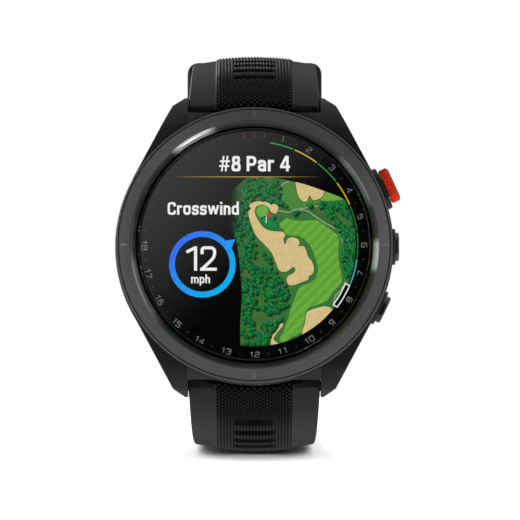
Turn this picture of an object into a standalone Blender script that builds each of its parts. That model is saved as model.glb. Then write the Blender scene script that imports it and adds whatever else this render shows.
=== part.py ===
"""Golf watch: a round case with three side buttons, a two-piece soft strap and a tang buckle.

The dial faces -Y, twelve o'clock is +Z and the buttons are on the +X side. The origin is
the centre of the flat sensor window on the case back, so depth is counted forward from
the skin: a depth of h millimetres lies at world y = -h.
"""
import math

import bmesh
import bpy
from mathutils import Matrix, Vector

MM = 0.001
GAP = 0.3  # clearance kept between neighbouring pieces, mm

# Driving dimensions, mm
CASE_R = 23.4
CASE_BACK_H = 2.7
CASE_FRONT_H = 11.0
LENS_R = 19.65
LENS_FRONT_H = 14.2
LUG_GAP_W = 22.4
STRAP_W = 21.7
STRAP_THICK = 2.8
PIN_Z = 23.3
PIN_H = 3.8
PIN_R = 0.9
BUTTON_H = 6.8

# Case interior, mm
CAVITY_R = CASE_R - 4.8
FLANGE_R = CAVITY_R - 0.6
FLANGE_H = CASE_FRONT_H - 1.2
UNDERCUT_Z = 21.0
UNDERCUT_H = 8.0
GROOVE_IN_R = CAVITY_R + 0.6
GROOVE_OUT_R = GROOVE_IN_R + 1.2
GROOVE_DEPTH = 1.0

# Rear cover, mm
COVER_R = 22.0
COVER_OUT_H = 1.0
COVER_IN_H = CASE_BACK_H - GAP
BOSS_R = 10.5
WINDOW_R = 8.7
WINDOW_IN_H = 1.5
SCREW_CIRCLE_R = 23.0
SCREW_ANGLE = math.radians(36.0)
SCREW_EAR_R = 2.0
SCREW_HEAD_R = 1.1
SCREW_SHANK_R = 0.6
SCREW_TIP_H = 5.6

# Charging socket, mm
SOCKET_Z = -14.5
SOCKET_W = 8.4
SOCKET_T = 3.0
CHARGE_PIN_R = 0.35
CHARGE_PITCH = 2.0

# Strap side shape, mm: the outer face is a small arc at the case, then a wide one
ARC_R = 30.0
ARC_Y = 14.3
ARC_Z = 3.1
STRAP_START_Z = 24.3
STRAP_TOP_Z = ARC_Z + ARC_R
UPPER_TAIL_R = 110.0
UPPER_TAIL_LEN = 48.0
LOWER_TAIL_R = 170.0
LOWER_TAIL_LEN = 95.0
BARREL_R = 2.0
SLOT_L = 7.5
VENT_COUNT = 4
# vents of each half, mm along the strap: (first, pitch, width)
UPPER_VENTS = (7.0, 2.45, 1.25)
LOWER_VENTS = (7.6, 3.4, 1.9)
TANG_SLOT_W = 1.3
TANG_SLOT_PITCH = 6.2
TANG_SLOT_END = 12.0
TANG_SLOT_COUNT = 9

# Buckle, mm
BAR_R = 0.8
BUCKLE_REACH = 12.0
BUCKLE_ARM_IN = 10.1
BUCKLE_ARM_OUT = 11.7
TANG_W = 3.4
KEEPER_W = 6.0

BIG_STEPS = 48
MID_STEPS = 24
SMALL_STEPS = 12
FACET_TURN = math.radians(3.0)

# name: (angle up from three o'clock, cap length, cap outer radius, guard outer radius)
BUTTONS = {
    "upper": (math.radians(24.5), 6.0, 25.8, 24.1),
    "middle": (0.0, 4.8, 24.4, 23.8),
    "lower": (math.radians(-26.0), 4.7, 24.6, 23.8),
}
CAP_DEPTH = 3.4
GUARD_WALL = 0.35

DIAL = Matrix(((1, 0, 0, 0), (0, 0, -1, 0), (0, 1, 0, 0), (0, 0, 0, 1)))


def clear_scene():
    """Remove every object, then make one collection for the parts and one for cutters."""
    for ob in list(bpy.data.objects):
        bpy.data.objects.remove(ob)
    groups = {}
    for name in ("golf_gps_watch", "cutters"):
        groups[name] = bpy.data.collections.new(name)
        bpy.context.scene.collection.children.link(groups[name])
    return groups["golf_gps_watch"], groups["cutters"]


PARTS, CUTTERS = clear_scene()


def make_material(name, colour, metallic, roughness):
    """A plain Principled material for one sub-part."""
    mat = bpy.data.materials.new(name)
    mat.use_nodes = True
    shader = mat.node_tree.nodes["Principled BSDF"]
    shader.inputs["Base Color"].default_value = (*colour, 1.0)
    shader.inputs["Metallic"].default_value = metallic
    shader.inputs["Roughness"].default_value = roughness
    return mat


LOOKS = {
    "polymer": ((0.03, 0.03, 0.032), 0.0, 0.6),
    "ceramic": ((0.07, 0.07, 0.072), 0.2, 0.35),
    "glass": ((0.02, 0.02, 0.025), 0.0, 0.05),
    "rubber": ((0.02, 0.02, 0.02), 0.0, 0.8),
    "steel": ((0.55, 0.55, 0.56), 1.0, 0.3),
    "gunmetal": ((0.12, 0.12, 0.125), 1.0, 0.35),
    "red_metal": ((0.7, 0.05, 0.01), 0.8, 0.35),
    "gold": ((0.9, 0.65, 0.25), 1.0, 0.25),
    "board": ((0.02, 0.12, 0.06), 0.0, 0.5),
    "foil": ((0.5, 0.5, 0.52), 0.7, 0.4),
    "panel": ((0.01, 0.01, 0.012), 0.0, 0.2),
}


def new_object(mesh):
    """An object for a mesh, kept with the cutters until it is finished."""
    ob = bpy.data.objects.new("work", mesh)
    CUTTERS.objects.link(ob)
    ob.display_type = "WIRE"
    ob.hide_render = True
    return ob


def tidy_mesh(mesh):
    """Weld doubled points and turn every face outward."""
    bm = bmesh.new()
    bm.from_mesh(mesh)
    bmesh.ops.remove_doubles(bm, verts=bm.verts, dist=1e-6)
    bmesh.ops.recalc_face_normals(bm, faces=bm.faces)
    bm.to_mesh(mesh)
    bm.free()


def baked(ob):
    """Replace an object's data by the mesh its modifiers or curve settings make."""
    bpy.context.view_layer.update()
    graph = bpy.context.evaluated_depsgraph_get()
    mesh = bpy.data.meshes.new_from_object(ob.evaluated_get(graph))
    tidy_mesh(mesh)
    done = new_object(mesh)
    bpy.data.objects.remove(ob)
    return done


def turned(profile, steps=BIG_STEPS, closed=False):
    """Turn a profile of (radius, height) points, in mm, about the local Z axis."""
    mesh = bpy.data.meshes.new("profile")
    points = [(r * MM, 0.0, h * MM) for r, h in profile]
    edges = [(i, i + 1) for i in range(len(points) - 1)]
    if closed:
        edges.append((len(points) - 1, 0))
    mesh.from_pydata(points, edges, [])
    ob = new_object(mesh)
    screw = ob.modifiers.new("turn", "SCREW")
    screw.axis = "Z"
    screw.steps = steps
    screw.render_steps = steps
    screw.use_merge_vertices = True
    screw.merge_threshold = 1e-6
    return baked(ob)


def primitive(make, matrix, **sizes):
    """One of bmesh's closed primitives, placed by a matrix."""
    bm = bmesh.new()
    make(bm, matrix=matrix, **sizes)
    mesh = bpy.data.meshes.new("primitive")
    bm.to_mesh(mesh)
    bm.free()
    return new_object(mesh)


def disc(radius, low, high, steps=BIG_STEPS):
    """A solid round disc between two heights, its facets turned off the axes."""
    middle = Matrix.Translation((0, 0, (low + high) / 2 * MM))
    turn = Matrix.Rotation(FACET_TURN, 4, "Z")
    return primitive(
        bmesh.ops.create_cone, middle @ turn, cap_ends=True, segments=steps,
        radius1=radius * MM, radius2=radius * MM, depth=(high - low) * MM,
    )


def ring(inner, outer, low, high, steps=BIG_STEPS):
    """A flat ring with a square section."""
    profile = [(inner, high), (outer, high), (outer, low), (inner, low)]
    return turned(profile, steps, closed=True)


def prism(outline, low, high):
    """Fill an outline of (x, y) points, in mm, and extrude it between two heights."""
    curve = bpy.data.curves.new("outline", "CURVE")
    curve.dimensions = "2D"
    curve.fill_mode = "BOTH"
    curve.extrude = (high - low) / 2 * MM
    spline = curve.splines.new("POLY")
    spline.points.add(len(outline) - 1)
    for point, (x, y) in zip(spline.points, outline):
        point.co = (x * MM, y * MM, 0.0, 1.0)
    spline.use_cyclic_u = True
    ob = bpy.data.objects.new("outline", curve)
    CUTTERS.objects.link(ob)
    done = baked(ob)
    return moved(done, Matrix.Translation((0, 0, (high + low) / 2 * MM)))


def box(low, high):
    """A block between two corners, in mm."""
    low, high = Vector(low) * MM, Vector(high) * MM
    place = Matrix.Translation((low + high) / 2) @ Matrix.Diagonal((*(high - low), 1))
    return primitive(bmesh.ops.create_cube, place, size=1.0)


def arc(centre, radius, start, end, steps):
    """Points along an arc, both ends included, angles in radians."""
    turn = (end - start) / steps
    return [
        (centre[0] + radius * math.cos(start + i * turn),
         centre[1] + radius * math.sin(start + i * turn))
        for i in range(steps + 1)
    ]


def pill(length, width, steps=8):
    """A stadium outline with its long side along x."""
    reach = (length - width) / 2
    right = arc((reach, 0), width / 2, -math.pi / 2, math.pi / 2, steps)
    left = arc((-reach, 0), width / 2, math.pi / 2, math.pi * 3 / 2, steps)
    return right + left


def moved(ob, matrix):
    """Apply a transform to an object's mesh."""
    ob.data.transform(matrix)
    return ob


def shifted(ob, x, y, z):
    """Move a mesh by millimetres."""
    return moved(ob, Matrix.Translation((x * MM, y * MM, z * MM)))


def combine(ob, others, operation):
    """Apply one exact Boolean per tool and remove the tools."""
    for other in others:
        tool = ob.modifiers.new("tool", "BOOLEAN")
        tool.operation = operation
        tool.solver = "EXACT"
        tool.object = other
        ob = baked(ob)
        bpy.data.objects.remove(other)
    return ob


def cut(ob, *tools):
    """Take the tools' solids out of an object."""
    return combine(ob, tools, "DIFFERENCE")


def join(ob, *tools):
    """Add the tools' solids to an object."""
    return combine(ob, tools, "UNION")


def finish(ob, name, look, origin=(0, 0, 0), smooth_angle=30.0):
    """Name a finished sub-part, give it its material and put its origin on its axis."""
    shift = Vector(origin) * MM
    ob.data.transform(Matrix.Translation(-shift))
    ob.location = shift
    ob.name = name
    ob.data.name = name
    ob.data.materials.clear()
    ob.data.materials.append(make_material(name, *LOOKS[look]))
    ob.data.shade_smooth()
    ob.data.set_sharp_from_angle(angle=math.radians(smooth_angle))
    ob.hide_render = False
    ob.display_type = "TEXTURED"
    CUTTERS.objects.unlink(ob)
    PARTS.objects.link(ob)
    return ob


def on_dial(ob):
    """Stand a piece made in dial coordinates (x, up, forward) in the world."""
    return moved(ob, DIAL)


# ---------------------------------------------------------------- case


def screw_places():
    """The four rear screws, (x, up) in mm, beside the lug roots."""
    x = SCREW_CIRCLE_R * math.sin(SCREW_ANGLE)
    z = SCREW_CIRCLE_R * math.cos(SCREW_ANGLE)
    return [(x, z), (-x, z), (-x, -z), (x, -z)]


def cover_blank(grow, low, high):
    """The rear cover's plan: a disc with four screw ears, flat where the strap ends swing."""
    blank = disc(COVER_R + grow, low, high)
    for x, z in screw_places():
        ear = disc(SCREW_EAR_R + grow, low, high, MID_STEPS)
        blank = join(blank, shifted(ear, x, z, 0))
    return blank


def strap_notches(low, high):
    """Two blocks that clear the space between the lugs."""
    half = LUG_GAP_W / 2
    upper = box((-half, UNDERCUT_Z, low), (half, UNDERCUT_Z + 12, high))
    lower = box((-half, -UNDERCUT_Z - 12, low), (half, -UNDERCUT_Z, high))
    return upper, lower


def lug():
    """The lug right of twelve o'clock, in dial coordinates."""
    half = LUG_GAP_W / 2
    corner = (13.8, 23.75)
    corner_angle = math.atan2(corner[1], corner[0])
    touch_angle = corner_angle - math.acos(CASE_R / math.hypot(*corner))
    touch = (CASE_R * math.cos(touch_angle), CASE_R * math.sin(touch_angle))
    tip_z = 25.3
    plan = [(half, 8.0), touch, corner, (half + 0.4, tip_z), (half, tip_z)]
    body = prism(plan, -1.0, CASE_FRONT_H + 1)
    # seen from the side the lug falls away from the bezel and tucks under at the tip
    side = [
        (8.0, CASE_FRONT_H - 0.1), (20.6, CASE_FRONT_H - 0.3), (22.6, 9.7), (24.2, 8.1),
        (tip_z, 6.0), (tip_z + 0.1, 3.5), (24.6, 1.7), (22.4, 0.9), (8.0, 1.5),
    ]
    profile = prism(side, 0.0, 30.0)
    along_x = Matrix(((0, 0, 1, 0), (1, 0, 0, 0), (0, 1, 0, 0), (0, 0, 0, 1)))
    return combine(body, [moved(profile, along_x)], "INTERSECT")


def mirrored(ob, x, z):
    """A copy of a dial-frame solid mirrored in x, in z or in both."""
    done = new_object(ob.data.copy())
    moved(done, Matrix.Diagonal((x, z, 1, 1)))
    tidy_mesh(done.data)
    return done


def button_frame(angle):
    """Local X along the rim, Y forward and Z outward through a button."""
    c, s = math.cos(angle), math.sin(angle)
    return Matrix(((-s, 0, c, 0), (0, -1, 0, -BUTTON_H * MM), (c, 0, s, 0), (0, 0, 0, 1)))


def guard_size(cap_length):
    """Outer length and width of a button's guard."""
    rim = 2 * (GAP + GUARD_WALL)
    return cap_length + rim, CAP_DEPTH + rim


GUARD_FLOOR = 20.9
SEAL_SEAT = 19.6
STEM_R = 0.5


def button_pocket(cap_length, angle):
    """The stepped bore that a button's guard, seal and stem pass through."""
    length, width = guard_size(cap_length)
    pocket = prism(pill(length + 2 * GAP, width + 2 * GAP), GUARD_FLOOR - GAP, 28.0)
    seat = disc(1.6, SEAL_SEAT, GUARD_FLOOR, SMALL_STEPS)
    bore = disc(STEM_R + GAP, CAVITY_R - 2, SEAL_SEAT + 0.1, SMALL_STEPS)
    return moved(join(pocket, seat, bore), button_frame(angle))


def lug_pin_bore(side):
    """A bore along X for one lug pin."""
    bore = disc(PIN_R + GAP, -12.6, 12.6, MID_STEPS)
    return shifted(moved(bore, Matrix.Rotation(math.pi / 2, 4, "Y")), 0, -PIN_H, side * PIN_Z)


def case_middle():
    """The polymer case: a ring with a front flange, four lugs and three button bores."""
    profile = [
        (FLANGE_R, CASE_FRONT_H), (CASE_R - 0.4, CASE_FRONT_H), (CASE_R, CASE_FRONT_H - 0.4),
        (CASE_R + 0.1, 6.5), (CASE_R - 0.2, 3.6), (CASE_R - 1.1, CASE_BACK_H),
        (GROOVE_OUT_R, CASE_BACK_H), (GROOVE_OUT_R, CASE_BACK_H + GROOVE_DEPTH),
        (GROOVE_IN_R, CASE_BACK_H + GROOVE_DEPTH), (GROOVE_IN_R, CASE_BACK_H),
        (CAVITY_R, CASE_BACK_H), (CAVITY_R, FLANGE_H), (FLANGE_R, FLANGE_H),
    ]
    body = turned(profile, closed=True)
    one = lug()
    lugs = [mirrored(one, x, z) for x, z in ((1, 1), (-1, 1), (-1, -1), (1, -1))]
    bpy.data.objects.remove(one)
    # the lugs stop outside the gasket groove, so that the ring's inside stays as turned
    keep_out = disc(GROOVE_OUT_R + 0.2, -2, CASE_FRONT_H + 2)
    lugs = [cut(piece, new_object(keep_out.data.copy())) for piece in lugs]
    bpy.data.objects.remove(keep_out)
    body = join(body, *lugs)
    body = cut(body, cover_blank(GAP, -2, CASE_BACK_H), *strap_notches(-2, UNDERCUT_H))
    for x, z in screw_places():
        hole = disc(SCREW_SHANK_R + GAP, 0, SCREW_TIP_H + GAP, SMALL_STEPS)
        body = cut(body, shifted(hole, x, z, 0))
    body = on_dial(body)
    for angle, cap_length, _, _ in BUTTONS.values():
        body = cut(body, button_pocket(cap_length, angle))
    body = cut(body, lug_pin_bore(1), lug_pin_bore(-1))
    finish(body, "case_middle", "polymer")


def bezel():
    """The ceramic bezel: a broad slope outside and a polished bevel at the lens."""
    inner = LENS_R + GAP
    low = CASE_FRONT_H + GAP
    profile = [
        (inner, 13.3), (20.8, 13.9), (22.7, 12.9), (23.2, 12.3), (23.2, low), (inner, low),
    ]
    finish(on_dial(turned(profile, closed=True)), "bezel", "ceramic")


def lens():
    """The domed-edge cover glass."""
    low = CASE_FRONT_H + 1.5
    profile = [
        (0, LENS_FRONT_H), (LENS_R - 0.4, LENS_FRONT_H), (LENS_R, LENS_FRONT_H - 0.4),
        (LENS_R, low), (0, low),
    ]
    finish(on_dial(turned(profile)), "lens", "glass")


def stack():
    """The flat layers under the lens, front to back."""
    gasket = ring(FLANGE_R + GAP, LENS_R - 0.25, CASE_FRONT_H + GAP, CASE_FRONT_H + 1.2)
    finish(on_dial(gasket), "lens_gasket", "rubber")
    panel_r = FLANGE_R - 0.4
    finish(on_dial(disc(panel_r, 11.4, 12.2)), "display_panel", "panel")

    carrier_r = FLANGE_R - GAP
    carrier = disc(carrier_r, 9.4, 11.1)
    recess = disc(carrier_r - 1.2, 9.0, 10.5)
    finish(on_dial(cut(carrier, recess)), "display_carrier", "polymer")

    board_r = CAVITY_R - 0.4
    board = disc(board_r, 8.3, 9.1)
    flat = box((-5, board_r - 1.4, 8), (5, board_r + 2, 10))
    finish(on_dial(cut(board, flat)), "main_board", "board")

    finish(on_dial(battery_block()), "battery", "foil")
    motor = shifted(disc(3.2, 5.2, 8.0, MID_STEPS), 0, 14.9, 0)
    finish(on_dial(motor), "vibration_motor", "steel")

    start, end = math.radians(125), math.radians(235)
    outline = arc((0, 0), CAVITY_R - GAP, start, end, 16)
    outline += arc((0, 0), CAVITY_R - GAP - 0.4, end, start, 16)
    finish(on_dial(prism(outline, 4.0, 8.0)), "gps_antenna", "gold")


def battery_block():
    """A pouch cell with rounded corners, set left of centre to clear the switches."""
    half_w, half_h, corner = 12.5, 11.0, 1.5
    outline = []
    for quarter, (sx, sz) in enumerate(((1, 1), (-1, 1), (-1, -1), (1, -1))):
        start = quarter * math.pi / 2
        centre = (sx * (half_w - corner), sz * (half_h - corner))
        outline += arc(centre, corner, start, start + math.pi / 2, 4)
    return shifted(prism(outline, 3.9, 7.9), -1.0, 0, 0)


def rear_cover():
    """The rear cover with its sensor boss, window seat, socket opening and screw seats."""
    body = cover_blank(0, COVER_OUT_H, COVER_IN_H)
    body = join(body, disc(BOSS_R, GAP, COVER_OUT_H + 0.5))
    seat = disc(WINDOW_R + GAP, -1, WINDOW_IN_H + GAP)
    well = disc(WINDOW_R - 0.7, 0, COVER_IN_H + 1)
    body = cut(body, seat, well)
    half_w, half_t = SOCKET_W / 2 + GAP, SOCKET_T / 2 + GAP
    body = cut(
        body,
        box((-half_w, SOCKET_Z - half_t, -1), (half_w, SOCKET_Z + half_t, 4)),
        *strap_notches(-1, 5),
    )
    for x, z in screw_places():
        head = disc(SCREW_HEAD_R + GAP, -1, COVER_IN_H - 0.5, SMALL_STEPS)
        shank = disc(SCREW_SHANK_R + GAP, 0, COVER_IN_H + 1, SMALL_STEPS)
        body = cut(body, shifted(join(head, shank), x, z, 0))
    finish(on_dial(body), "rear_cover", "polymer")

    gasket = ring(
        GROOVE_IN_R + GAP, GROOVE_OUT_R - GAP,
        CASE_BACK_H, CASE_BACK_H + GROOVE_DEPTH - GAP,
    )
    finish(on_dial(gasket), "rear_gasket", "rubber")
    finish(on_dial(disc(WINDOW_R, 0, WINDOW_IN_H)), "sensor_window", "glass")
    finish(on_dial(disc(WINDOW_R - 1.1, COVER_IN_H + GAP, 3.5)), "sensor_board", "board")


def charging():
    """The socket block behind the rear cover and its four contact pins."""
    half_w, half_t = SOCKET_W / 2, SOCKET_T / 2
    block = box((-half_w, SOCKET_Z - half_t, 1.2), (half_w, SOCKET_Z + half_t, 5.0))
    for i in range(4):
        x = (i - 1.5) * CHARGE_PITCH
        hole = disc(CHARGE_PIN_R + GAP, 0, 6, SMALL_STEPS)
        block = cut(block, shifted(hole, x, SOCKET_Z, 0))
        contact = shifted(disc(CHARGE_PIN_R, 1.4, 4.8, SMALL_STEPS), x, SOCKET_Z, 0)
        finish(on_dial(contact), f"charge_pin_{i + 1}", "gold")
    finish(on_dial(block), "charge_socket", "polymer")


def rear_screws():
    """Four round-head screws with a slot."""
    head_low, head_high = COVER_OUT_H + 0.1, COVER_IN_H - 0.5 - GAP
    profile = [
        (0, SCREW_TIP_H), (SCREW_SHANK_R - 0.2, SCREW_TIP_H),
        (SCREW_SHANK_R, SCREW_TIP_H - 0.4), (SCREW_SHANK_R, head_high),
        (SCREW_HEAD_R, head_high), (SCREW_HEAD_R, head_low), (0, head_low),
    ]
    for i, (x, z) in enumerate(screw_places()):
        slot = box((-2, -0.15, 0), (2, 0.15, head_low + 0.2))
        screw = cut(turned(profile, SMALL_STEPS), slot)
        finish(on_dial(shifted(screw, x, z, 0)), f"rear_screw_{i + 1}", "steel")


# ---------------------------------------------------------------- buttons


def button(name, angle, cap_length, cap_out, guard_out):
    """One button: cap on its stem, guard, seal, return spring, washer and switch."""
    frame = button_frame(angle)
    on_axis = (0, -BUTTON_H, 0)
    spring_low, spring_high = GUARD_FLOOR + 0.7, 23.1
    cap = prism(pill(cap_length, CAP_DEPTH), 22.6, cap_out)
    pocket = disc(1.4, 22, spring_high + GAP, SMALL_STEPS)
    stem = disc(STEM_R, 17.2, cap_out - 0.6, SMALL_STEPS)
    foot = disc(1.1, 17.0, 17.6, SMALL_STEPS)
    cap = join(cut(cap, pocket), stem, foot)
    look = "red_metal" if name == "upper" else "gunmetal"
    finish(moved(cap, frame), f"button_{name}_cap", look, on_axis)

    length, width = guard_size(cap_length)
    guard = prism(pill(length, width), GUARD_FLOOR, guard_out)
    bore = prism(pill(cap_length + 2 * GAP, CAP_DEPTH + 2 * GAP), GUARD_FLOOR + 0.4, 30)
    stem_hole = disc(STEM_R + GAP, 20, 22, SMALL_STEPS)
    finish(moved(cut(guard, bore, stem_hole), frame), f"button_{name}_guard", "polymer")

    seal_r, seal_wire = 1.05, 0.25
    section = arc((seal_r, 20.1), seal_wire, 0, 2 * math.pi, 8)[:-1]
    seal = turned(section, SMALL_STEPS, closed=True)
    finish(moved(seal, frame), f"button_{name}_seal", "rubber")
    washer = ring(STEM_R + GAP, 1.1, CAVITY_R - 0.7, CAVITY_R - GAP, SMALL_STEPS)
    finish(moved(washer, frame), f"button_{name}_washer", "steel", on_axis)
    spring = coil(0.95, 0.12, 3, spring_low, spring_high)
    finish(moved(spring, frame), f"button_{name}_spring", "steel", on_axis)

    body = box((-2.0, -1.2, 14.4), (2.0, 1.2, 15.7))
    plunger = box((-0.8, -0.6, 15.5), (0.8, 0.6, 16.1))
    finish(moved(join(body, plunger), frame), f"button_{name}_switch", "foil")


def coil(radius, wire, turns, low, high):
    """A helical spring about the local Z axis."""
    per_turn = 8
    count = turns * per_turn + 1
    climb = high - low - 2 * wire
    curve = bpy.data.curves.new("coil", "CURVE")
    curve.dimensions = "3D"
    curve.bevel_depth = wire * MM
    curve.bevel_resolution = 2
    curve.use_fill_caps = True
    spline = curve.splines.new("POLY")
    spline.points.add(count - 1)
    for i, point in enumerate(spline.points):
        angle = 2 * math.pi * i / per_turn
        height = low + wire + climb * i / (count - 1)
        x, y = radius * math.cos(angle), radius * math.sin(angle)
        point.co = (x * MM, y * MM, height * MM, 1.0)
    ob = bpy.data.objects.new("coil", curve)
    CUTTERS.objects.link(ob)
    return baked(ob)


# ---------------------------------------------------------------- strap


class StrapPath:
    """The outer face of one strap half, seen from the side.

    side is +1 for the twelve o'clock half and -1 for the six o'clock half. Points are
    (y, z) in mm, where y runs back from the dial.
    """

    def __init__(self, side, tail_r, tail_len):
        self.side = side
        self.tail_r = tail_r
        self.start = math.acos((STRAP_START_Z - ARC_Z) / ARC_R)
        self.bend_len = ARC_R * self.start
        self.length = self.bend_len + tail_len

    def at(self, s):
        """Point, outward normal and onward direction at a distance along the strap."""
        if s <= self.bend_len:
            lean = self.start - s / ARC_R
            radius, centre_z = ARC_R, ARC_Z
        else:
            lean = -(s - self.bend_len) / self.tail_r
            radius, centre_z = self.tail_r, STRAP_TOP_Z - self.tail_r
        y = ARC_Y - radius * math.sin(lean)
        z = centre_z + radius * math.cos(lean)
        normal = (-math.sin(lean), math.cos(lean) * self.side)
        onward = (math.cos(lean), math.sin(lean) * self.side)
        return (y, z * self.side), normal, onward

    def frame(self, origin, s):
        """A matrix with X along world X, Y onward along the strap and Z outward."""
        _, (ny, nz), (ty, tz) = self.at(s)
        flip = self.side
        y, z = origin
        return Matrix((
            (flip, 0, 0, 0), (0, ty, ny, y * MM), (0, tz, nz, z * MM), (0, 0, 0, 1),
        ))

    def pin_s(self):
        """Distance along the strap at which its normal passes through the lug pin."""
        lean = math.atan2(ARC_Y + PIN_H, PIN_Z - ARC_Z)
        return (self.start - lean) * ARC_R


UPPER = StrapPath(1, UPPER_TAIL_R, UPPER_TAIL_LEN)
LOWER = StrapPath(-1, LOWER_TAIL_R, LOWER_TAIL_LEN)


def strap_half_width(path, s, tip_round):
    """Half the strap's width: it narrows over the bend, and a free tip is rounded."""
    bend = min(s / path.bend_len, 1.0)
    tail = max(s - path.bend_len, 0.0) / (path.length - path.bend_len)
    half = STRAP_W / 2 - 0.45 * bend - 0.7 * tail
    left = path.length - s
    if tip_round and left < tip_round:
        half -= tip_round * (1 - math.sqrt(max(1 - (1 - left / tip_round) ** 2, 0.0)))
    return half


def strap_slab(path, stations, tip_round=0.0):
    """Loft a four-sided section along the strap's path."""
    bm = bmesh.new()
    rings = []
    for s in stations:
        (y, z), (ny, nz), _ = path.at(s)
        half = strap_half_width(path, s, tip_round)
        section = []
        for x, depth in ((-half, 0), (half, 0), (half, STRAP_THICK), (-half, STRAP_THICK)):
            place = Vector((x, y - ny * depth, z - nz * depth)) * MM
            section.append(bm.verts.new(place))
        rings.append(section)
    for one, two in zip(rings, rings[1:]):
        for i in range(4):
            j = (i + 1) % 4
            bm.faces.new((one[i], one[j], two[j], two[i]))
    bm.faces.new(rings[0])
    bm.faces.new(rings[-1])
    mesh = bpy.data.meshes.new("slab")
    bm.to_mesh(mesh)
    bm.free()
    tidy_mesh(mesh)
    return new_object(mesh)


def along_x(ob, y, z):
    """Lay a piece turned about local Z along the X axis at (y, z) in mm."""
    return shifted(moved(ob, Matrix.Rotation(math.pi / 2, 4, "Y")), 0, y, z)


HOOK_HALF = 6.0


def strap_slots(body, path, places, width):
    """Cut stadium slots across the middle of the strap."""
    for s in places:
        point, _, _ = path.at(s)
        slot = prism(pill(SLOT_L, width, 4), -6.0, 3.0)
        body = cut(body, moved(slot, path.frame(point, s)))
    return body


def strap_vents(body, path, vents):
    """Cut the row of vents next to the case."""
    first, pitch, width = vents
    return strap_slots(body, path, [first + pitch * i for i in range(VENT_COUNT)], width)


def strap_root(body, path):
    """Add the end that fills the lug gap and the pin's barrel, then cut bore and pocket."""
    pin = (-PIN_H, path.side * PIN_Z)
    half_w = STRAP_W / 2 - 0.01
    # the end's flat top lies under the case's front rim, (back, up) from the dial axis
    end = [(-7.2, 22.1), (-7.2, 24.0), (-6.5, 24.6), (-4.6, 24.4), (-3.8, 22.9), (-4.6, 22.1)]
    end = [(y, path.side * z) for y, z in end]
    across = Matrix(((0, 0, 1, 0), (1, 0, 0, 0), (0, 1, 0, 0), (0, 0, 0, 1)))
    filler = moved(prism(end, -half_w, half_w), across)
    body = join(body, filler)
    barrel = along_x(disc(BARREL_R, -STRAP_W / 2, STRAP_W / 2, MID_STEPS), *pin)
    bore = along_x(disc(PIN_R + GAP, -20, 20, MID_STEPS), *pin)
    frame = path.frame(pin, path.pin_s())
    half = HOOK_HALF + GAP
    pocket = moved(box((-half, -1.9, -4.0), (half, 4.0, 1.9)), frame)
    return cut(join(body, barrel), pocket, bore)


def band_hook(path, name):
    """The hook insert that drops over the lug pin, and the latch that closes it."""
    pin = (-PIN_H, path.side * PIN_Z)
    frame = path.frame(pin, path.pin_s())
    at_pin = (0, *pin)
    hook = box((-HOOK_HALF, -1.6, -0.9), (HOOK_HALF, 3.7, 1.6))
    mouth = box((-9, -PIN_R - GAP, -3), (9, PIN_R + GAP, 0))
    hook = cut(moved(hook, frame), moved(mouth, frame))
    hook = cut(hook, along_x(disc(PIN_R + GAP, -20, 20, MID_STEPS), *pin))
    finish(hook, f"band_hook_{name}", "steel", at_pin)
    latch = box((-4.0, -0.8, -1.8), (4.0, 3.4, -1.25))
    thumb = box((-3.0, 2.2, -2.6), (3.0, 3.4, -1.6))
    finish(moved(join(latch, thumb), frame), f"band_latch_{name}", "gunmetal", at_pin)


def strap_upper():
    """The twelve o'clock half with a barrel for the buckle bar and a slot for the tang."""
    bend = [UPPER.bend_len * i / 10 for i in range(11)]
    tail_len = UPPER.length - UPPER.bend_len
    stations = bend + [UPPER.bend_len + tail_len * i / 8 for i in range(1, 9)]
    body = strap_root(strap_slab(UPPER, stations), UPPER)
    body = strap_vents(body, UPPER, UPPER_VENTS)
    y, z = buckle_centre()
    half = strap_half_width(UPPER, UPPER.length, 0)
    body = join(body, along_x(disc(1.7, -half, half, MID_STEPS), y, z))
    frame = UPPER.frame((y, z), UPPER.length)
    slot_half = TANG_W / 2 + GAP
    slot = moved(box((-slot_half, -2.4, -4), (slot_half, 4, 4)), frame)
    body = cut(body, slot, along_x(disc(BAR_R + GAP, -20, 20, MID_STEPS), y, z))
    finish(body, "strap_upper", "rubber", (0, -PIN_H, PIN_Z))
    band_hook(UPPER, "upper")


def strap_lower():
    """The six o'clock half with a rounded tip and a row of tang slots."""
    tip_round = 9.0
    bend = [LOWER.bend_len * i / 10 for i in range(11)]
    flat_len = LOWER.length - LOWER.bend_len - tip_round
    stations = bend + [LOWER.bend_len + flat_len * i / 12 for i in range(1, 13)]
    tip_leans = [math.radians(90 * i / 6) for i in range(1, 6)]
    stations += [LOWER.length - tip_round * (1 - math.sin(lean)) for lean in tip_leans]
    stations.append(LOWER.length - 0.02)
    body = strap_root(strap_slab(LOWER, stations, tip_round), LOWER)
    last = LOWER.length - TANG_SLOT_END
    tang_slots = [last - TANG_SLOT_PITCH * i for i in range(TANG_SLOT_COUNT)]
    body = strap_vents(body, LOWER, LOWER_VENTS)
    body = strap_slots(body, LOWER, tang_slots, TANG_SLOT_W)
    finish(body, "strap_lower", "rubber", (0, -PIN_H, -PIN_Z))
    band_hook(LOWER, "lower")


def lug_pins():
    """The two fixed pins between the lugs."""
    for name, side in (("upper", 1), ("lower", -1)):
        pin = along_x(disc(PIN_R, -12.3, 12.3, MID_STEPS), -PIN_H, side * PIN_Z)
        finish(pin, f"lug_pin_{name}", "steel", (0, -PIN_H, side * PIN_Z))


# ---------------------------------------------------------------- buckle


def buckle_centre():
    """The (y, z) of the buckle bar, in the middle of the strap's thickness."""
    (y, z), (ny, nz), _ = UPPER.at(UPPER.length)
    return y - ny * STRAP_THICK / 2, z - nz * STRAP_THICK / 2


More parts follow.
